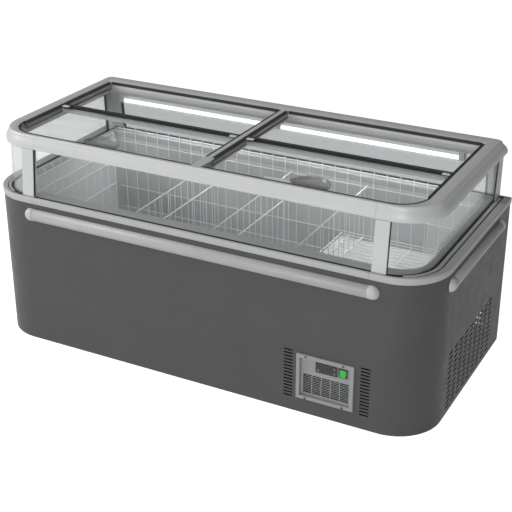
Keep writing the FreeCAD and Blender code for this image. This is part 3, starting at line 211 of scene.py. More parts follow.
# One finish for each slot of the record, and a few variants for single pieces.
MATS = {
    "body_paint": surface("body_paint", (0.066, 0.067, 0.068), 0.42, 0.05, 1400.0, 0.05, shine=0.28),
    "zinc": surface("zinc", (0.48, 0.49, 0.50), 0.42, 0.18, 260.0, 0.02, metal=0.9, cloud=40.0),
    "foot": surface("foot", (0.03, 0.03, 0.03), 0.7, 0.15, 700.0, 0.1),
    "liner": surface("liner", (0.52, 0.525, 0.53), 0.45, 0.04, 1200.0, 0.03),
    "foam": surface("foam", (0.74, 0.66, 0.42), 0.9, 0.12, 300.0, 0.4),
    "rim_plastic": surface("rim_plastic", (0.37, 0.375, 0.375), 0.42, 0.03, 1500.0, 0.03),
    "frame_plastic": surface("frame_plastic", (0.48, 0.485, 0.485), 0.36, 0.025, 1500.0, 0.03),
    "rear_glass": glass("rear_glass", (0.76, 0.765, 0.77), 0.35),
    "clear_glass": glass("clear_glass", (0.975, 0.980, 0.979), 0.35),
    "lid_glass": glass("lid_glass", (0.985, 0.988, 0.987), 0.30),
    "seal": surface("seal", (0.018, 0.018, 0.018), 0.6, 0.2, 800.0, 0.08),
    "channel": surface("channel", (0.028, 0.028, 0.029), 0.45, 0.12, 900.0, 0.05),
    "trim": surface("trim", (0.58, 0.59, 0.59), 0.35, 0.03, 1500.0, 0.03),
    "handle": tinted("handle", (0.24, 0.244, 0.248), 0.46),
    "channel_two": two_tone("channel_two", (0.24, 0.243, 0.245), (0.02, 0.02, 0.02), 0.8655),
    "label": tinted("label", (0.86, 0.87, 0.88), 0.55),
    "lamp": glowing("lamp", (0.93, 0.96, 1.0), 1.6, (0.85, 0.86, 0.87)),
    "lamp_holder": surface("lamp_holder", (0.62, 0.63, 0.63), 0.4, 0.03, 1200.0, 0.03),
    "wire": surface("wire", (0.74, 0.75, 0.75), 0.32, 0.05, 700.0, 0.05, coat=0.2),
    "bumper": surface("bumper", (0.34, 0.343, 0.343), 0.45, 0.04, 1300.0, 0.04),
    "bumper_end": surface("bumper_end", (0.42, 0.423, 0.423), 0.4, 0.04, 1300.0, 0.04),
    "bezel": surface("bezel", (0.25, 0.255, 0.26), 0.42, 0.05, 1100.0, 0.06),
    "panel": surface("panel", (0.045, 0.045, 0.048), 0.5, 0.12, 900.0, 0.06),
    "meter": surface("meter", (0.012, 0.012, 0.014), 0.2, 0.2, 900.0, 0.02, coat=0.5),
    "key": surface("key", (0.16, 0.16, 0.165), 0.4, 0.1, 900.0, 0.05),
    "rocker_green": glowing("rocker_green", (0.02, 0.60, 0.05), 0.18, (0.03, 0.36, 0.04)),
    "screw": surface("screw", (0.10, 0.10, 0.10), 0.4, 0.1, 900.0, 0.05, metal=0.6),
    "black_steel": surface("black_steel", (0.02, 0.02, 0.021), 0.35, 0.2, 500.0, 0.1, coat=0.3),
    "fins": surface("fins", (0.022, 0.022, 0.023), 0.5, 0.2, 200.0, 0.1),
    "copper": surface("copper", (0.62, 0.33, 0.2), 0.3, 0.15, 300.0, 0.05, metal=1.0),
}

slot_of = {s["node"]: s["material_slot"] for s in frame["record"]["subparts"]}


def paint(obj, mat):
    obj.data.materials.clear()
    obj.data.materials.append(mat)


# ------------------------------------------------------------------ finishes of the CAD pieces
for name, obj in nodes.items():
    slot = "channel_two" if name == "lid_channels" else slot_of[name]
    paint(obj, MATS["lid_glass" if "lid" in name and slot == "clear_glass" else slot])

# ------------------------------------------------------------------ mesh helpers
# Sizes below are in the cabinet's own frame; SHIFT moves them along Y into the assembly's frame.
SHIFT = 0.0091
HALF_X, FRONT_Y, REAR_Y, CORNER_R = 0.928, -0.431, 0.431, 0.175
TUB_X, TUB_Y, TUB_R, TUB_REAR_R = 0.850, 0.365, 0.109, 0.030
FRONT_STEPS, REAR_STEPS = 18, 5


def finish_mesh(bm, name, slot, replaces=(), body="cabinet", sharp=32.0, mat=None):
    """Makes the piece from bm, with its finish, its body and the CAD nodes that it stands for."""
    bmesh.ops.remove_doubles(bm, verts=bm.verts, dist=1e-6)
    bmesh.ops.recalc_face_normals(bm, faces=bm.faces)
    mesh = bpy.data.meshes.new(name)
    bm.to_mesh(mesh)
    bm.free()
    mesh.polygons.foreach_set("use_smooth", [True] * len(mesh.polygons))
    mesh.set_sharp_from_angle(angle=math.radians(sharp))
    obj = bpy.data.objects.new(name, mesh)
    scene.collection.objects.link(obj)
    paint(obj, mat or MATS[slot])
    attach(obj, body)
    if replaces:
        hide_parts(*replaces)
    return obj


def outline(half_x, y_front, y_rear, r_front, r_rear):
    """A rounded plan outline as points, counted the same way for every size so that outlines can be joined."""
    points = []
    corners = ((half_x - r_front, y_front + r_front, r_front, 270.0, FRONT_STEPS),
               (half_x - r_rear, y_rear - r_rear, r_rear, 0.0, REAR_STEPS),
               (-half_x + r_rear, y_rear - r_rear, r_rear, 90.0, REAR_STEPS),
               (-half_x + r_front, y_front + r_front, r_front, 180.0, FRONT_STEPS))
    for cx, cy, r, start, count in corners:
        for i in range(count + 1):
            a = math.radians(start + 90.0 * i / count)
            points.append((cx + r * math.cos(a), cy + r * math.sin(a) + SHIFT))
    return points


def inset(amount, rear_r):
    """The body's outline, moved inward by amount."""
    return outline(HALF_X - amount, FRONT_Y + amount, REAR_Y - amount, CORNER_R - amount, rear_r)


def loft(rings):
    """Joins rings [(points, z)] into a closed skin, the last ring to the first."""
    bm = bmesh.new()
    rows = [[bm.verts.new((x, y, z)) for x, y in pts] for pts, z in rings]
    for a, b in zip(rows, rows[1:] + rows[:1]):
        n = len(a)
        for i in range(n):
            k = (i + 1) % n
            bm.faces.new((a[i], a[k], b[k], b[i]))
    return bm


# Cutting planes for keep(), named for the side that stays.
def right_of(x):
    return (x, 0, 0), (1, 0, 0)


def left_of(x):
    return (x, 0, 0), (-1, 0, 0)


def behind(y):
    return (0, y, 0), (0, 1, 0)


def ahead_of(y):
    return (0, y, 0), (0, -1, 0)


def above(z):
    return (0, 0, z), (0, 0, 1)


def keep(bm, planes):
    """Keeps what lies on the normal's side of each plane (point, normal), and closes the cuts."""
    part = bm.copy()
    for point, normal in planes:
        geom = part.verts[:] + part.edges[:] + part.faces[:]
        bmesh.ops.bisect_plane(part, geom=geom, plane_co=point, plane_no=normal, clear_inner=True, dist=1e-7)
        edges = [e for e in part.edges if e.is_boundary]
        bmesh.ops.holes_fill(part, edges=edges, sides=0)
    return part


def join(*parts):
    """Puts the parts into one mesh and frees them."""
    whole = bmesh.new()
    for part in parts:
        mesh = bpy.data.meshes.new("scratch")
        part.to_mesh(mesh)
        whole.from_mesh(mesh)
        bpy.data.meshes.remove(mesh)
        part.free()
    return whole


def mirror(bm):
    """A copy of bm on the other side of x = 0."""
    part = bm.copy()
    bmesh.ops.scale(part, vec=(-1.0, 1.0, 1.0), verts=part.verts)
    bmesh.ops.reverse_faces(part, faces=part.faces)
    return part


def arc(cx, cz, r, start, end, count):
    """Points of an arc in a section plane, as (offset, height)."""
    out = []
    for i in range(count + 1):
        a = math.radians(start + (end - start) * i / count)
        out.append((cx + r * math.cos(a), cz + r * math.sin(a)))
    return out


# ------------------------------------------------------------------ top frame
SEAM_X, SEAM_Y, BACK_Y = 0.697, -0.276 + SHIFT, 0.322 + SHIFT
GAP = 0.0004
FRAME_X, FRAME_FRONT, FRAME_REAR, FRAME_R, FRAME_REAR_R = 0.905, -0.402, 0.408, 0.152, 0.008
OPEN_X, OPEN_FRONT, OPEN_REAR, OPEN_R, OPEN_REAR_R = 0.840, -0.374, 0.327, 0.110, 0.004
FRAME_Z, SLOPE_Z, ROUND_Z, FRAME_TOP = 0.819, 0.835, 0.860, 0.871
SLOPE_H, ROUND_H = 0.025, 0.011
SLOPE_START, SLOPE_IN, ROUND_IN = 0.0012, 0.0148, 0.010
NARROW_SHARE, REAR_R_GROWTH = 0.7, 0.6


def frame_ring(narrow, z):
    """The frame's outer outline, narrower higher up, and less so at the front and rear than at the ends."""
    share = NARROW_SHARE * narrow
    pts = outline(FRAME_X - narrow, FRAME_FRONT + share, FRAME_REAR - share, FRAME_R - narrow,
                  FRAME_REAR_R + narrow * REAR_R_GROWTH)
    return pts, z


def opening_ring(wider, z):
    """The outline of the opening for the lids."""
    pts = outline(OPEN_X + wider, OPEN_FRONT - wider, OPEN_REAR + wider, OPEN_R + wider, OPEN_REAR_R + wider)
    return pts, z


frame_rings = [frame_ring(0.0025, FRAME_Z), frame_ring(0.0007, 0.8198), frame_ring(0.0, 0.822)]
frame_rings += [frame_ring(0.0, 0.829), frame_ring(SLOPE_START, SLOPE_Z)]
for i in range(1, 9):
    t = i / 8.0
    frame_rings.append(frame_ring(SLOPE_START + SLOPE_IN * t ** 1.25, SLOPE_Z + SLOPE_H * t))
for i in range(1, 8):
    a = math.radians(90.0 * i / 7)
    frame_rings.append(frame_ring(0.016 + ROUND_IN * (1.0 - math.cos(a)), ROUND_Z + ROUND_H * math.sin(a)))
frame_rings += [opening_ring(0.0016, FRAME_TOP), opening_ring(0.0004, 0.8705), opening_ring(0.0, 0.869),
                opening_ring(0.0, FRAME_Z)]
frame_bm = loft(frame_rings)
FRONT_SPAN = [right_of(-SEAM_X + GAP), left_of(SEAM_X - GAP), ahead_of(0)]
RIGHT_CORNER = [right_of(SEAM_X + GAP), ahead_of(SEAM_Y - GAP)]
finish_mesh(keep(frame_bm, FRONT_SPAN), "Frame_front", "frame_plastic", ["frame_front"])
corner = keep(frame_bm, RIGHT_CORNER)
finish_mesh(join(mirror(corner), corner), "Frame_corners", "frame_plastic", ["frame_corners"])
side = keep(frame_bm, [right_of(SEAM_X), behind(SEAM_Y + GAP), ahead_of(BACK_Y - GAP)])
finish_mesh(join(mirror(side), side), "Frame_sides", "frame_plastic", ["frame_sides"])
finish_mesh(keep(frame_bm, [behind(BACK_Y + GAP)]), "Frame_rear", "frame_plastic", ["frame_rear"])
frame_bm.free()


# ------------------------------------------------------------------ rim
LIP_IN, LIP_TOP = (0.025, 0.009), 0.633
GROOVE_Z = 0.625
SILL_IN, SILL_TOP = (0.055, 0.021), 0.636
TUB_TOP = 0.608
# The land is the raised strip between the rim's lip and the glass, from the front corners to the rear.
LAND_OUT, LAND_IN, LAND_Y_IN, LAND_FOOT, LAND_TOP = 0.029, 0.043, 0.012, 0.6252, 0.635
EDGE_R, TUB_EDGE_R = 0.0038, 0.005
RIM_REAR_R = 0.006
SEAT_R, SEAT_REAR_R = 0.162, 0.003
RIM_BACK = 0.335 + SHIFT
LAND_Y, LAND_END = FRONT_Y + 0.030 + SHIFT, REAR_Y - 0.030 + SHIFT


def seat(x_in, y_in):
    """A loop on the rim that keeps the centre line of the glass's corners."""
    return outline(HALF_X - x_in, FRONT_Y + y_in, REAR_Y - y_in, SEAT_R - y_in, SEAT_REAR_R)


def tub_edge(out):
    """The tub's outline, moved outward by out."""
    return outline(TUB_X + out, -TUB_Y - out, TUB_Y + out, TUB_R + out, TUB_REAR_R + out)


rim_rings = [(inset(d, RIM_REAR_R), z) for d, z in arc(0.0008, 0.6118, EDGE_R, -90, -180, 5)]
rim_rings += [(inset(d, RIM_REAR_R), z) for d, z in arc(0.0008, 0.6292, EDGE_R, 180, 90, 6)]
rim_rings += [(seat(0.0243, 0.0083), LIP_TOP), (seat(*LIP_IN), 0.6323), (seat(*LIP_IN), GROOVE_Z)]
rim_rings += [(seat(*SILL_IN), GROOVE_Z), (seat(*SILL_IN), 0.6322), (seat(0.0557, 0.0217), 0.6331)]
rim_rings += [(seat(0.066, 0.052), SILL_TOP)]
rim_rings += [(tub_edge(d), z) for d, z in arc(TUB_EDGE_R, 0.631, TUB_EDGE_R, 90, 180, 6)]
rim_rings += [(tub_edge(0.0), TUB_TOP)]
rim_bm = loft(rim_rings)
land_bm = loft([(seat(LAND_OUT, LAND_Y_IN), LAND_FOOT), (seat(LAND_OUT, LAND_Y_IN), 0.6342),
                (seat(0.0298, LAND_Y_IN), LAND_TOP), (seat(0.0422, LAND_Y_IN), LAND_TOP),
                (seat(LAND_IN, LAND_Y_IN), 0.6342), (seat(LAND_IN, LAND_Y_IN), LAND_FOOT)])
finish_mesh(keep(rim_bm, FRONT_SPAN), "Rim_front", "rim_plastic", ["rim_front"])
corner = join(keep(rim_bm, RIGHT_CORNER), keep(land_bm, RIGHT_CORNER + [behind(LAND_Y)]))
finish_mesh(join(mirror(corner), corner), "Rim_corners", "rim_plastic", ["rim_corners"])
cuts = [right_of(SEAM_X + GAP), behind(SEAM_Y + GAP), ahead_of(RIM_BACK - GAP)]
side = join(keep(rim_bm, cuts), keep(land_bm, cuts))
finish_mesh(join(mirror(side), side), "Rim_sides", "rim_plastic", ["rim_sides"])
end = keep(land_bm, [right_of(SEAM_X + GAP), behind(RIM_BACK + GAP), ahead_of(LAND_END)])
rear = join(keep(rim_bm, [behind(RIM_BACK + GAP)]), mirror(end), end)
finish_mesh(rear, "Rim_rear", "rim_plastic", ["rim_rear"])
rim_bm.free()
land_bm.free()

# ------------------------------------------------------------------ glass and posts of the display zone
GLASS_Z0, GLASS_Z1, GLASS_T = 0.625, 0.819, 0.005
GLASS_R, GLASS_REAR_R = 0.150, 0.003
FOOT_X_IN, FOOT_Y_IN, LEAN_X, LEAN_Y = 0.046, 0.012, 0.006, 0.019
POST_MID, POST_HALF_GAP, WEB_HALF = 0.726, 0.0033, 0.003
POST_X, LINING_X = (0.700, 0.752), (0.704, 0.748)
TURN_X, TURN_Y = 0.870, 0.388 + SHIFT
REAR_POST = 0.032
STRIP_Z = 0.6362
FRONT_SIDE = ahead_of(0)


def lean_ring(side, z):
    """The glass's outline at a height, moved inward by side."""
    share = (z - GLASS_Z0) / (GLASS_Z1 - GLASS_Z0)
    x_in = FOOT_X_IN - LEAN_X * share + side
    y_in = FOOT_Y_IN + LEAN_Y * share + side
    return outline(HALF_X - x_in, FRONT_Y + y_in, REAR_Y - y_in, GLASS_R - side, GLASS_REAR_R), z


def band(outside, inside, z0, z1, edge=0.0006):
    """A leaning wall that follows the glass, its four long edges eased."""
    return loft([lean_ring(outside + edge, z0), lean_ring(outside, z0 + edge), lean_ring(outside, z1 - edge),
                 lean_ring(outside + edge, z1), lean_ring(inside - edge, z1), lean_ring(inside, z1 - edge),
                 lean_ring(inside, z0 + edge), lean_ring(inside - edge, z0)])


pane = band(0.0, GLASS_T, GLASS_Z0, GLASS_Z1)
finish_mesh(keep(pane, [right_of(-POST_MID + POST_HALF_GAP), left_of(POST_MID - POST_HALF_GAP), FRONT_SIDE]),
            "Glass_front", "clear_glass", ["glass_front"])
side = keep(pane, [right_of(POST_MID + POST_HALF_GAP), ahead_of(TURN_Y)])
finish_mesh(mirror(side), "Glass_left", "clear_glass", ["glass_left"])
finish_mesh(side, "Glass_right", "clear_glass", ["glass_right"])
finish_mesh(keep(pane, [right_of(-TURN_X), left_of(TURN_X), behind(0)]),
            "Glass_rear", "clear_glass", ["glass_rear"], mat=MATS["rear_glass"])
pane.free()

skin = band(-0.0035, -0.0003, LIP_TOP, GLASS_Z1, 0.001)
lining = band(0.0053, 0.0240, STRIP_Z, GLASS_Z1, 0.0008)
back_lining = band(0.0053, 0.0070, STRIP_Z, GLASS_Z1, 0.0004)
core = band(-0.0030, 0.0065, LIP_TOP, GLASS_Z1, 0.0004)
web = keep(core, [right_of(POST_MID - WEB_HALF), left_of(POST_MID + WEB_HALF), FRONT_SIDE])
front_post = join(keep(skin, [right_of(POST_X[0]), left_of(POST_X[1]), FRONT_SIDE]),
                  keep(lining, [right_of(LINING_X[0]), left_of(LINING_X[1]), FRONT_SIDE]), web)
rear_cut = [right_of(TURN_X - REAR_POST), behind(TURN_Y - REAR_POST), above(SILL_TOP)]
nook = [right_of(TURN_X + 0.0003), behind(TURN_Y + 0.0003), above(SILL_TOP)]
rear_post = join(keep(skin, rear_cut), keep(back_lining, rear_cut), keep(core, nook))
posts = join(mirror(front_post), mirror(rear_post), front_post, rear_post)
finish_mesh(posts, "Corner_posts", "frame_plastic", ["corner_posts"])
for part in (skin, lining, back_lining, core):
    part.free()

# ------------------------------------------------------------------ glass seals
BEAD_Z, BEAD_TOP, BEAD_EASE = 0.6253, 0.6327, 0.0005
STRIP_W, STRIP_OFF = 0.0107, 0.0323


def bead(outer, inner, z0, z1):
    """A soft strip lying in the rim's groove, its top edges eased."""
    e = BEAD_EASE
    return loft([(seat(*outer), z0), (seat(*outer), z1 - e), (seat(outer[0] + e, outer[1] + e), z1),
                 (seat(inner[0] - e, inner[1] - e), z1), (seat(*inner), z1 - e), (seat(*inner), z0)])


side_bead = loft([(seat(0.0436, LAND_Y_IN), BEAD_Z), (seat(0.0436, LAND_Y_IN), LAND_TOP),
                  (seat(0.0454, LAND_Y_IN), LAND_TOP), (seat(0.0454, LAND_Y_IN), BEAD_Z)])
inner_strip = band(0.0053, 0.0070, STRIP_Z, GLASS_Z1, 0.0003)
outer_strip = band(-0.0013, -0.0003, STRIP_Z, GLASS_Z1, 0.0003)
strips = [keep(side_bead, [right_of(0), behind(FRONT_Y + 0.060 + SHIFT), ahead_of(LAND_END)])]
for a, b in ((0.698, 0.7036), (0.7484, 0.7540)):
    strips.append(keep(inner_strip, [right_of(a), left_of(b), FRONT_SIDE]))
edge_y, edge_x = TURN_Y - STRIP_OFF, TURN_X - STRIP_OFF
strips.append(keep(outer_strip, [behind(edge_y - STRIP_W), ahead_of(edge_y), right_of(0)]))
strips.append(keep(outer_strip, [right_of(edge_x - STRIP_W), left_of(edge_x), behind(0)]))
half = join(*strips)
seals = join(mirror(half), half, bead((0.0253, 0.0093), (0.0287, 0.0117), BEAD_Z, BEAD_TOP),
             bead((0.0513, 0.0181), (0.0547, 0.0207), BEAD_Z, BEAD_TOP))
finish_mesh(seals, "Glass_seals", "seal", ["glass_gaskets"])
for part in (side_bead, inner_strip, outer_strip):
    part.free()


# ------------------------------------------------------------------ round bars and wires
BAR_R, RAIL_R, WIRE_R = 0.0025, 0.002, 0.0015
BAR_SIDES, RAIL_SIDES, WIRE_SIDES = 12, 10, 8
STEP_X, STEP_Z, FLOOR_Z, HANG_Z = 0.257, 0.360, 0.080, 0.597
SHELF_Z, SHELF_WIRES = 0.378, 25
RAILS = (0.100, 0.284, 0.383, 0.490, 0.597, 0.655)
END_RAILS = (0.100, 0.250, 0.400, 0.506, 0.560, 0.620)
DIVIDERS = (-0.312, 0.026, 0.364)
PITCH = 0.338 / 6.0
RAIL_OFF, WIRE_OFF = 0.013, 0.016
HOOK_OUT, HOOK_UP, HOOK_STEPS = 0.0105, 0.0155, 6


def ring_at(centre, axis, radius, sides):
    """Points of a circle round an axis."""
    axis = axis.normalized()
    helper = Vector((0, 0, 1)) if abs(axis.z) < 0.9 else Vector((1, 0, 0))
    u = axis.cross(helper).normalized()
    v = axis.cross(u)
    points = []
    for i in range(sides):
        a = 2.0 * math.pi * i / sides
        points.append(centre + u * (radius * math.cos(a)) + v * (radius * math.sin(a)))
    return points


def skin_rings(bm, rings):
    """Skins a row of point rings and closes both ends."""
    rows = [[bm.verts.new(p) for p in ring] for ring in rings]
    for a, b in zip(rows, rows[1:]):
        n = len(a)
        for i in range(n):
            k = (i + 1) % n
            bm.faces.new((a[i], a[k], b[k], b[i]))
    bm.faces.new(list(reversed(rows[0])))
    bm.faces.new(rows[-1])


def wire(bm, points, radius, sides):
    """A coated wire through points, its ends rounded and its bends mitred."""
    pts = [Vector((x, y + SHIFT, z)) for x, y, z in points]
    rings = []
    last = len(pts) - 1
    for i, p in enumerate(pts):
        before = (p - pts[i - 1]).normalized() if i else None
        after = (pts[i + 1] - p).normalized() if i < last else None
        along = before if after is None else after if before is None else (before + after).normalized()
        if i == 0:
            rings.append(ring_at(p, along, radius * 0.6, sides))
            rings.append(ring_at(p + after * radius * 0.5, along, radius, sides))
        elif i == last:
            rings.append(ring_at(p - before * radius * 0.5, along, radius, sides))
            rings.append(ring_at(p, along, radius * 0.6, sides))
        else:
            rings.append(ring_at(p, along, radius, sides))
    skin_rings(bm, rings)


def spread(low, high, count):
    """Evenly spaced values from low to high."""
    return [low + (high - low) * i / (count - 1) for i in range(count)]


def coated(name, bm, node):
    finish_mesh(bm, name, "wire", [node])


def long_fence(side, rails, tall):
    """The rear fence (side 1) or the front one (side -1), with its rails parted at the liner's step."""
    y_rail = side * (TUB_Y - RAIL_OFF)
    y_wire = side * (TUB_Y - WIRE_OFF)
    reach = TUB_X - 0.026 if side > 0 else TUB_X - TUB_R + 0.020
    step = STEP_X - 0.008
    bm = bmesh.new()
    for z in rails:
        wire(bm, [(-reach, y_rail, z), (step, y_rail, z)], RAIL_R, RAIL_SIDES)
        if z > STEP_Z + 0.010:
            wire(bm, [(step + 0.0005, y_rail, z), (reach, y_rail, z)], RAIL_R, RAIL_SIDES)
    first = DIVIDERS[0] + PITCH / 2
    for i in range(math.ceil((-reach + 0.004 - first) / PITCH), math.floor((reach - 0.004 - first) / PITCH) + 1):
        x = first + i * PITCH
        wire(bm, [(x, y_wire, STEP_Z if x > step else FLOOR_Z), (x, y_wire, tall)], WIRE_R, WIRE_SIDES)
    return bm


def end_fence(sign, floor, rails):
    """A fence across one end, each upright hooked outward over the tub's edge."""
    x_rail = sign * (TUB_X - RAIL_OFF)
    x_wire = sign * (TUB_X - WIRE_OFF)
    front = -TUB_Y + TUB_R - 0.030
    rear = TUB_Y - 0.031
    bm = bmesh.new()
    for z in rails:
        wire(bm, [(x_rail, front, z), (x_rail, rear, z)], RAIL_R, RAIL_SIDES)
    bend = rails[-1] + 0.004
    for y in spread(front + 0.008, rear - 0.008, 12):
        hook = [(x_wire, y, floor), (x_wire, y, bend)]
        for k in range(1, HOOK_STEPS + 1):
            a = math.radians(15.0 * k)
            hook.append((x_wire + sign * HOOK_OUT * (1.0 - math.cos(a)), y, bend + HOOK_UP * math.sin(a)))
        wire(bm, hook, WIRE_R, WIRE_SIDES)
    return bm


coated("Rear_fence_wires", long_fence(1, RAILS, 0.667), "rear_fence")
coated("Front_fence_wires", long_fence(-1, RAILS[:-1], HANG_Z + 0.008), "front_fence")
coated("End_fence_left_wires", end_fence(-1, FLOOR_Z, END_RAILS), "end_fence_left")
coated("End_fence_right_wires", end_fence(1, STEP_Z, [z for z in END_RAILS if z > STEP_Z]), "end_fence_right")

bm = bmesh.new()
hang = HANG_Z + 0.0047
reach, inner = TUB_Y - 0.007, TUB_Y - 0.037
for x in DIVIDERS:
    over_shelf = x > STEP_X
    foot = SHELF_Z + 0.0085 if over_shelf else FLOOR_Z + 0.012
    wire(bm, [(x, -reach, hang), (x, reach, hang)], BAR_R, BAR_SIDES)
    for z in (foot,) if over_shelf else (foot, HANG_Z - 0.097):
        wire(bm, [(x, -inner, z), (x, inner, z)], BAR_R, BAR_SIDES)
    for y in spread(-inner + 0.006, inner - 0.006, 14):
        wire(bm, [(x + 0.0035, y, foot - 0.001), (x + 0.0035, y, hang + 0.001)], WIRE_R, WIRE_SIDES)
coated("Divider_wires", bm, "dividers")

bm = bmesh.new()
x0, x1 = STEP_X + 0.008, TUB_X - 0.027
front, reach = -TUB_Y + 0.026, TUB_Y - 0.028
turn = x1 - 0.060
under, over = 0.375, 0.381
rows = spread(front, reach, SHELF_WIRES)
for y in rows:
    wire(bm, [(x0 - 0.002, y, SHELF_Z), (turn if y < front + 0.050 else x1, y, SHELF_Z)], WIRE_R, WIRE_SIDES)
for x in (x0 + 0.032, x0 + 0.407, x1 - 0.003):
    start = rows[2] - 0.003 if x > turn else front - 0.003
    wire(bm, [(x, start, under), (x, reach + 0.003, under)], RAIL_R, RAIL_SIDES)
    for y in (rows[3], rows[-4]):
        wire(bm, [(x, y + 0.006, STEP_Z), (x, y + 0.006, under)], WIRE_R, WIRE_SIDES)
for x in (x0, x0 + 0.310):
    wire(bm, [(x, front - 0.003, over), (x, reach + 0.003, over)], RAIL_R, RAIL_SIDES)
coated("Raised_shelf_wires", bm, "raised_shelf")


# ------------------------------------------------------------------ bumpers
RAIL_BULGE_R, RAIL_BACK, CAP_R, CAP_SEAT = 0.0256, 0.0056, 0.0268, 0.014
BUMPER_Z, FRONT_HALF, SIDE_HALF, SIDE_MID = 0.562, 0.698, 0.2645, 0.0275
BUMPER_SIDES, CAP_STEPS = 48, 13


def lathe(steps):
    """A turned bar along X from [(x, radius)], cut off flat on the plane y = 0."""
    bm = bmesh.new()
    skin_rings(bm, [ring_at(Vector((x, RAIL_BACK, 0)), Vector((1, 0, 0)), r, BUMPER_SIDES) for x, r in steps])
    half = keep(bm, [ahead_of(0)])
    bm.free()
    return half


def bumper(inner):
    """A half-round rail and its two caps along X, bulging towards -Y from the plane y = 0."""
    edge = 0.0006
    rail = lathe([(-inner, RAIL_BULGE_R - edge), (-inner + edge, RAIL_BULGE_R), (inner - edge, RAIL_BULGE_R),
                  (inner, RAIL_BULGE_R - edge)])
    steps = [(inner + 0.0002, CAP_R - 0.0008), (inner + 0.001, CAP_R), (inner + CAP_SEAT, CAP_R)]
    for i in range(1, CAP_STEPS):
        a = math.radians(90.0 * i / CAP_STEPS)
        steps.append((inner + CAP_SEAT + CAP_R * math.sin(a), CAP_R * math.cos(a)))
    cap = lathe(steps)
    return rail, join(mirror(cap), cap)


rails, caps = [], []
for half, turn, x, y in ((FRONT_HALF, 0.0, 0.0, FRONT_Y), (SIDE_HALF, 90.0, HALF_X, SIDE_MID),
                         (SIDE_HALF, -90.0, -HALF_X, SIDE_MID)):
    place = Matrix.Translation((x, y + SHIFT, BUMPER_Z)) @ Matrix.Rotation(math.radians(turn), 4, "Z")
    for bm, group in zip(bumper(half), (rails, caps)):
        bmesh.ops.transform(bm, matrix=place, verts=bm.verts)
        group.append(bm)
finish_mesh(join(*rails), "Bumper_rails", "bumper", ["bumper_rails"], sharp=50.0)
finish_mesh(join(*caps), "Bumper_caps", "bumper_end", ["bumper_caps"], sharp=50.0)

# ------------------------------------------------------------------ lid handles, clips and label
HANDLE_X, HANDLE_Y, MOON_STEPS = 0.430, -0.344, 32
# Each step of a handle's section: radius, how far its flat side stands back, height.
HANDLE_STEPS = (
    (0.0665, 0.0060, 0.8570), (0.0690, 0.0046, 0.8590), (0.0697, 0.0043, 0.8662), (0.0740, 0.0, 0.8662),
    (0.0740, 0.0, 0.8725), (0.0735, 0.0004, 0.8737), (0.0725, 0.0012, 0.8740), (0.0708, 0.0024, 0.8740),
    (0.0698, 0.0034, 0.8732), (0.0672, 0.0062, 0.8622), (0.0655, 0.0080, 0.8602), (0.0630, 0.0100, 0.8592))
GLASS_FACE, CLIP_TOP = 0.86615, 0.8690
CLIP_X, CLIP_L, CLIP_Y = (0.0230, 0.7960), 0.028, (-0.0380, -0.0213)
LABEL = (0.257, 0.352, -0.369, -0.331)


def half_moon(x, y, radius, flat, z):
    """A half disc's outline, its straight side cut back by flat."""
    low = math.degrees(math.asin(flat / radius))
    points = []
    for i in range(MOON_STEPS + 1):
        a = math.radians(low + (180.0 - 2.0 * low) * i / MOON_STEPS)
        points.append(Vector((x + radius * math.cos(a), y + radius * math.sin(a) + SHIFT, z)))
    return points


def slab(x0, x1, y0, y1, z0, z1, edge):
    """A box with eased edges, in the cabinet's frame."""
    bm = bmesh.new()
    bmesh.ops.create_cube(bm, size=1.0)
    bmesh.ops.scale(bm, vec=(x1 - x0, y1 - y0, z1 - z0), verts=bm.verts)
    bmesh.ops.translate(bm, vec=((x0 + x1) / 2, (y0 + y1) / 2 + SHIFT, (z0 + z1) / 2), verts=bm.verts)
    bmesh.ops.bevel(bm, geom=bm.edges[:], offset=edge, segments=2, profile=0.5, affect="EDGES")
    return bm


for sign, side in ((1, "right"), (-1, "left")):
    bm = bmesh.new()
    skin_rings(bm, [half_moon(sign * HANDLE_X, HANDLE_Y, r, f, z) for r, f, z in HANDLE_STEPS])
    finish_mesh(bm, "Handle_" + side, "handle", ["front_lid_" + side + "_handle"], body="front_lid_" + side,
                sharp=40.0)

finish_mesh(slab(*LABEL, GLASS_FACE, 0.86645, 0.0001), "Lid_label", "trim", body="front_lid_right",
            mat=MATS["label"])
for sign, side in ((1, "right"), (-1, "left")):
    ends = []
    for x in CLIP_X:
        x0, x1 = sorted((sign * x, sign * (x + CLIP_L)))
        ends.append(slab(x0, x1, *CLIP_Y, GLASS_FACE, CLIP_TOP, 0.0006))
    finish_mesh(join(*ends), "Bar_clips_" + side, "trim", body="front_lid_" + side)

# ------------------------------------------------------------------ control plate with its grille
# Plates and holes are (x0, x1, z0, z1).
PLATE = (0.448, 0.647, 0.085, 0.244)
PLATE_FRONT, PLATE_T = -0.423, 0.002
METER_HOLE, ROCKER_HOLE = (0.5117, 0.5883, 0.1967, 0.2293), (0.5997, 0.6283, 0.1987, 0.2293)
GRILLE = (0.457, 0.638, 0.095, 0.173)
GRILLE_COLS, GRILLE_ROWS = 5, 11
GRILLE_POST, GRILLE_BLADE = 0.0026, 0.0017


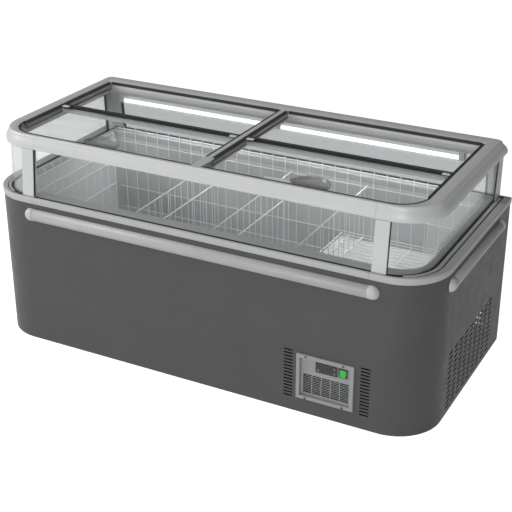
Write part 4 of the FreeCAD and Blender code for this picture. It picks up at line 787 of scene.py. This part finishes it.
def perforated(plate, holes, y_front, y_back):
    """A plate on a grid of cells, with the cells that lie in a hole left out and every edge walled."""
    xs = sorted({round(v, 6) for h in holes + [plate] for v in h[:2]})
    zs = sorted({round(v, 6) for h in holes + [plate] for v in h[2:]})
    solid = set()
    for i in range(len(xs) - 1):
        for k in range(len(zs) - 1):
            x, z = (xs[i] + xs[i + 1]) / 2, (zs[k] + zs[k + 1]) / 2
            if not any(h[0] < x < h[1] and h[2] < z < h[3] for h in holes):
                solid.add((i, k))
    bm = bmesh.new()
    made = {}

    def vert(i, k, y):
        if (i, k, y) not in made:
            made[i, k, y] = bm.verts.new((xs[i], y + SHIFT, zs[k]))
        return made[i, k, y]

    for i, k in sorted(solid):
        loop = ((i, k), (i + 1, k), (i + 1, k + 1), (i, k + 1))
        bm.faces.new([vert(a, b, y_front) for a, b in loop])
        bm.faces.new([vert(a, b, y_back) for a, b in reversed(loop)])
        neighbours = ((i, k - 1), (i + 1, k), (i, k + 1), (i - 1, k))
        for j, cell in enumerate(neighbours):
            if cell not in solid:
                (a, b), (c, d) = loop[j], loop[(j + 1) % 4]
                bm.faces.new((vert(a, b, y_front), vert(a, b, y_back), vert(c, d, y_back), vert(c, d, y_front)))
    bmesh.ops.recalc_face_normals(bm, faces=bm.faces)
    return bm


slot_w, slot_h = (GRILLE[1] - GRILLE[0]) / GRILLE_COLS, (GRILLE[3] - GRILLE[2]) / GRILLE_ROWS
holes = [METER_HOLE, ROCKER_HOLE]
for i in range(GRILLE_COLS):
    for k in range(GRILLE_ROWS):
        x, z = GRILLE[0] + i * slot_w, GRILLE[2] + k * slot_h
        holes.append((x + GRILLE_POST / 2, x + slot_w - GRILLE_POST / 2,
                      z + GRILLE_BLADE / 2, z + slot_h - GRILLE_BLADE / 2))
plate = perforated(PLATE, holes, PLATE_FRONT, PLATE_FRONT + PLATE_T)
finish_mesh(plate, "Control_plate", "bezel", ["control_plate"])

# ------------------------------------------------------------------ light tubes
TUBE_R, TUBE_Y, TUBE_Z, TUBE_EDGE = 0.0082, 0.338, 0.793, 0.0006
TUBE_SPANS = ((-0.780, -0.032), (-0.024, 0.751))

bm = bmesh.new()
for x0, x1 in TUBE_SPANS:
    steps = ((x0, 0.0074), (x0 + TUBE_EDGE, TUBE_R), (x1 - TUBE_EDGE, TUBE_R), (x1, 0.0074))
    skin_rings(bm, [ring_at(Vector((x, TUBE_Y + SHIFT, TUBE_Z)), Vector((1, 0, 0)), r, 28) for x, r in steps])
finish_mesh(bm, "Light_tubes", "lamp", ["led_tubes"], sharp=45.0)

# ------------------------------------------------------------------ studio
# The floor glows for the camera and through glass; bounced light sees half of that glow.
FLOOR_TONES = ((0.44, 0.44, 0.44), (0.46, 0.46, 0.46))
FLOOR_HALF = 40.0
FLOOR_GLOW, BOUNCE_SHARE = 0.95, 0.5
AMBIENT_COLOUR, AMBIENT = (0.93, 0.95, 1.0, 1.0), 0.14
TUBE_LAMP_POWER = 1.9


def larger(nt, a, b):
    """The larger of a socket and either a number or another socket."""
    node = nt.nodes.new("ShaderNodeMath")
    node.operation = "MAXIMUM"
    nt.links.new(a, node.inputs[0])
    if isinstance(b, float):
        node.inputs[1].default_value = b
    else:
        nt.links.new(b, node.inputs[1])
    return node.outputs[0]


mat, nt, out = new_material("studio_floor")
diffuse = nt.nodes.new("ShaderNodeBsdfDiffuse")
cloud = noise(nt, 1.5, 2.0, 0.5)
nt.links.new(mix_colour(nt, span(nt, cloud, 0.0, 1.0), *FLOOR_TONES), diffuse.inputs["Color"])
glow = nt.nodes.new("ShaderNodeEmission")
path = nt.nodes.new("ShaderNodeLightPath")
seen = larger(nt, larger(nt, path.outputs["Is Camera Ray"], BOUNCE_SHARE), path.outputs["Is Transmission Ray"])
level = nt.nodes.new("ShaderNodeMath")
level.operation = "MULTIPLY"
level.inputs[1].default_value = FLOOR_GLOW
nt.links.new(seen, level.inputs[0])
nt.links.new(level.outputs[0], glow.inputs["Strength"])
total = nt.nodes.new("ShaderNodeAddShader")
nt.links.new(diffuse.outputs[0], total.inputs[0])
nt.links.new(glow.outputs[0], total.inputs[1])
nt.links.new(total.outputs[0], out.inputs["Surface"])
bm = bmesh.new()
bmesh.ops.create_grid(bm, x_segments=8, y_segments=8, size=FLOOR_HALF)
mesh = bpy.data.meshes.new("Floor")
bm.to_mesh(mesh)
bm.free()
floor = bpy.data.objects.new("Floor", mesh)
scene.collection.objects.link(floor)
paint(floor, mat)

world = bpy.data.worlds.new("Studio")
scene.world = world
world.use_nodes = True
nt = world.node_tree
nt.nodes.clear()
out = nt.nodes.new("ShaderNodeOutputWorld")
ambient = nt.nodes.new("ShaderNodeBackground")
ambient.inputs["Color"].default_value = AMBIENT_COLOUR
ambient.inputs["Strength"].default_value = AMBIENT
white = nt.nodes.new("ShaderNodeBackground")
white.inputs["Color"].default_value = (1.0, 1.0, 1.0, 1.0)
white.inputs["Strength"].default_value = 1.0
path = nt.nodes.new("ShaderNodeLightPath")
mix = nt.nodes.new("ShaderNodeMixShader")
nt.links.new(larger(nt, path.outputs["Is Camera Ray"], path.outputs["Is Transmission Ray"]), mix.inputs[0])
nt.links.new(ambient.outputs[0], mix.inputs[1])
nt.links.new(white.outputs[0], mix.inputs[2])
nt.links.new(mix.outputs[0], out.inputs["Surface"])


def lamp(name, where, target, size, power):
    """A rectangular lamp aimed at a point."""
    data = bpy.data.lights.new(name, "AREA")
    data.shape = "RECTANGLE"
    data.size, data.size_y = size
    data.energy = power
    obj = bpy.data.objects.new(name, data)
    obj.location = where
    obj.rotation_euler = (Vector(target) - Vector(where)).to_track_quat("-Z", "Y").to_euler()
    scene.collection.objects.link(obj)
    return obj


lamp("Key", (1.4, -5.2, 1.8), (0.0, 0.0, 0.45), (2.2, 1.8), 145.0)
lamp("Left", (-3.6, -1.6, 2.6), (0.0, 0.0, 0.6), (2.4, 1.8), 120.0)
lamp("Top", (0.4, -0.6, 4.2), (0.0, 0.0, 0.6), (3.6, 2.4), 36.0)
for i, x in enumerate((-0.41, 0.37)):
    tube_lamp = lamp("Tube_%d" % i, (x, 0.335 + SHIFT, 0.775), (x, 0.05, 0.35), (0.72, 0.02), TUBE_LAMP_POWER)
    tube_lamp.visible_camera = False
    tube_lamp.visible_glossy = False
    tube_lamp.visible_transmission = False
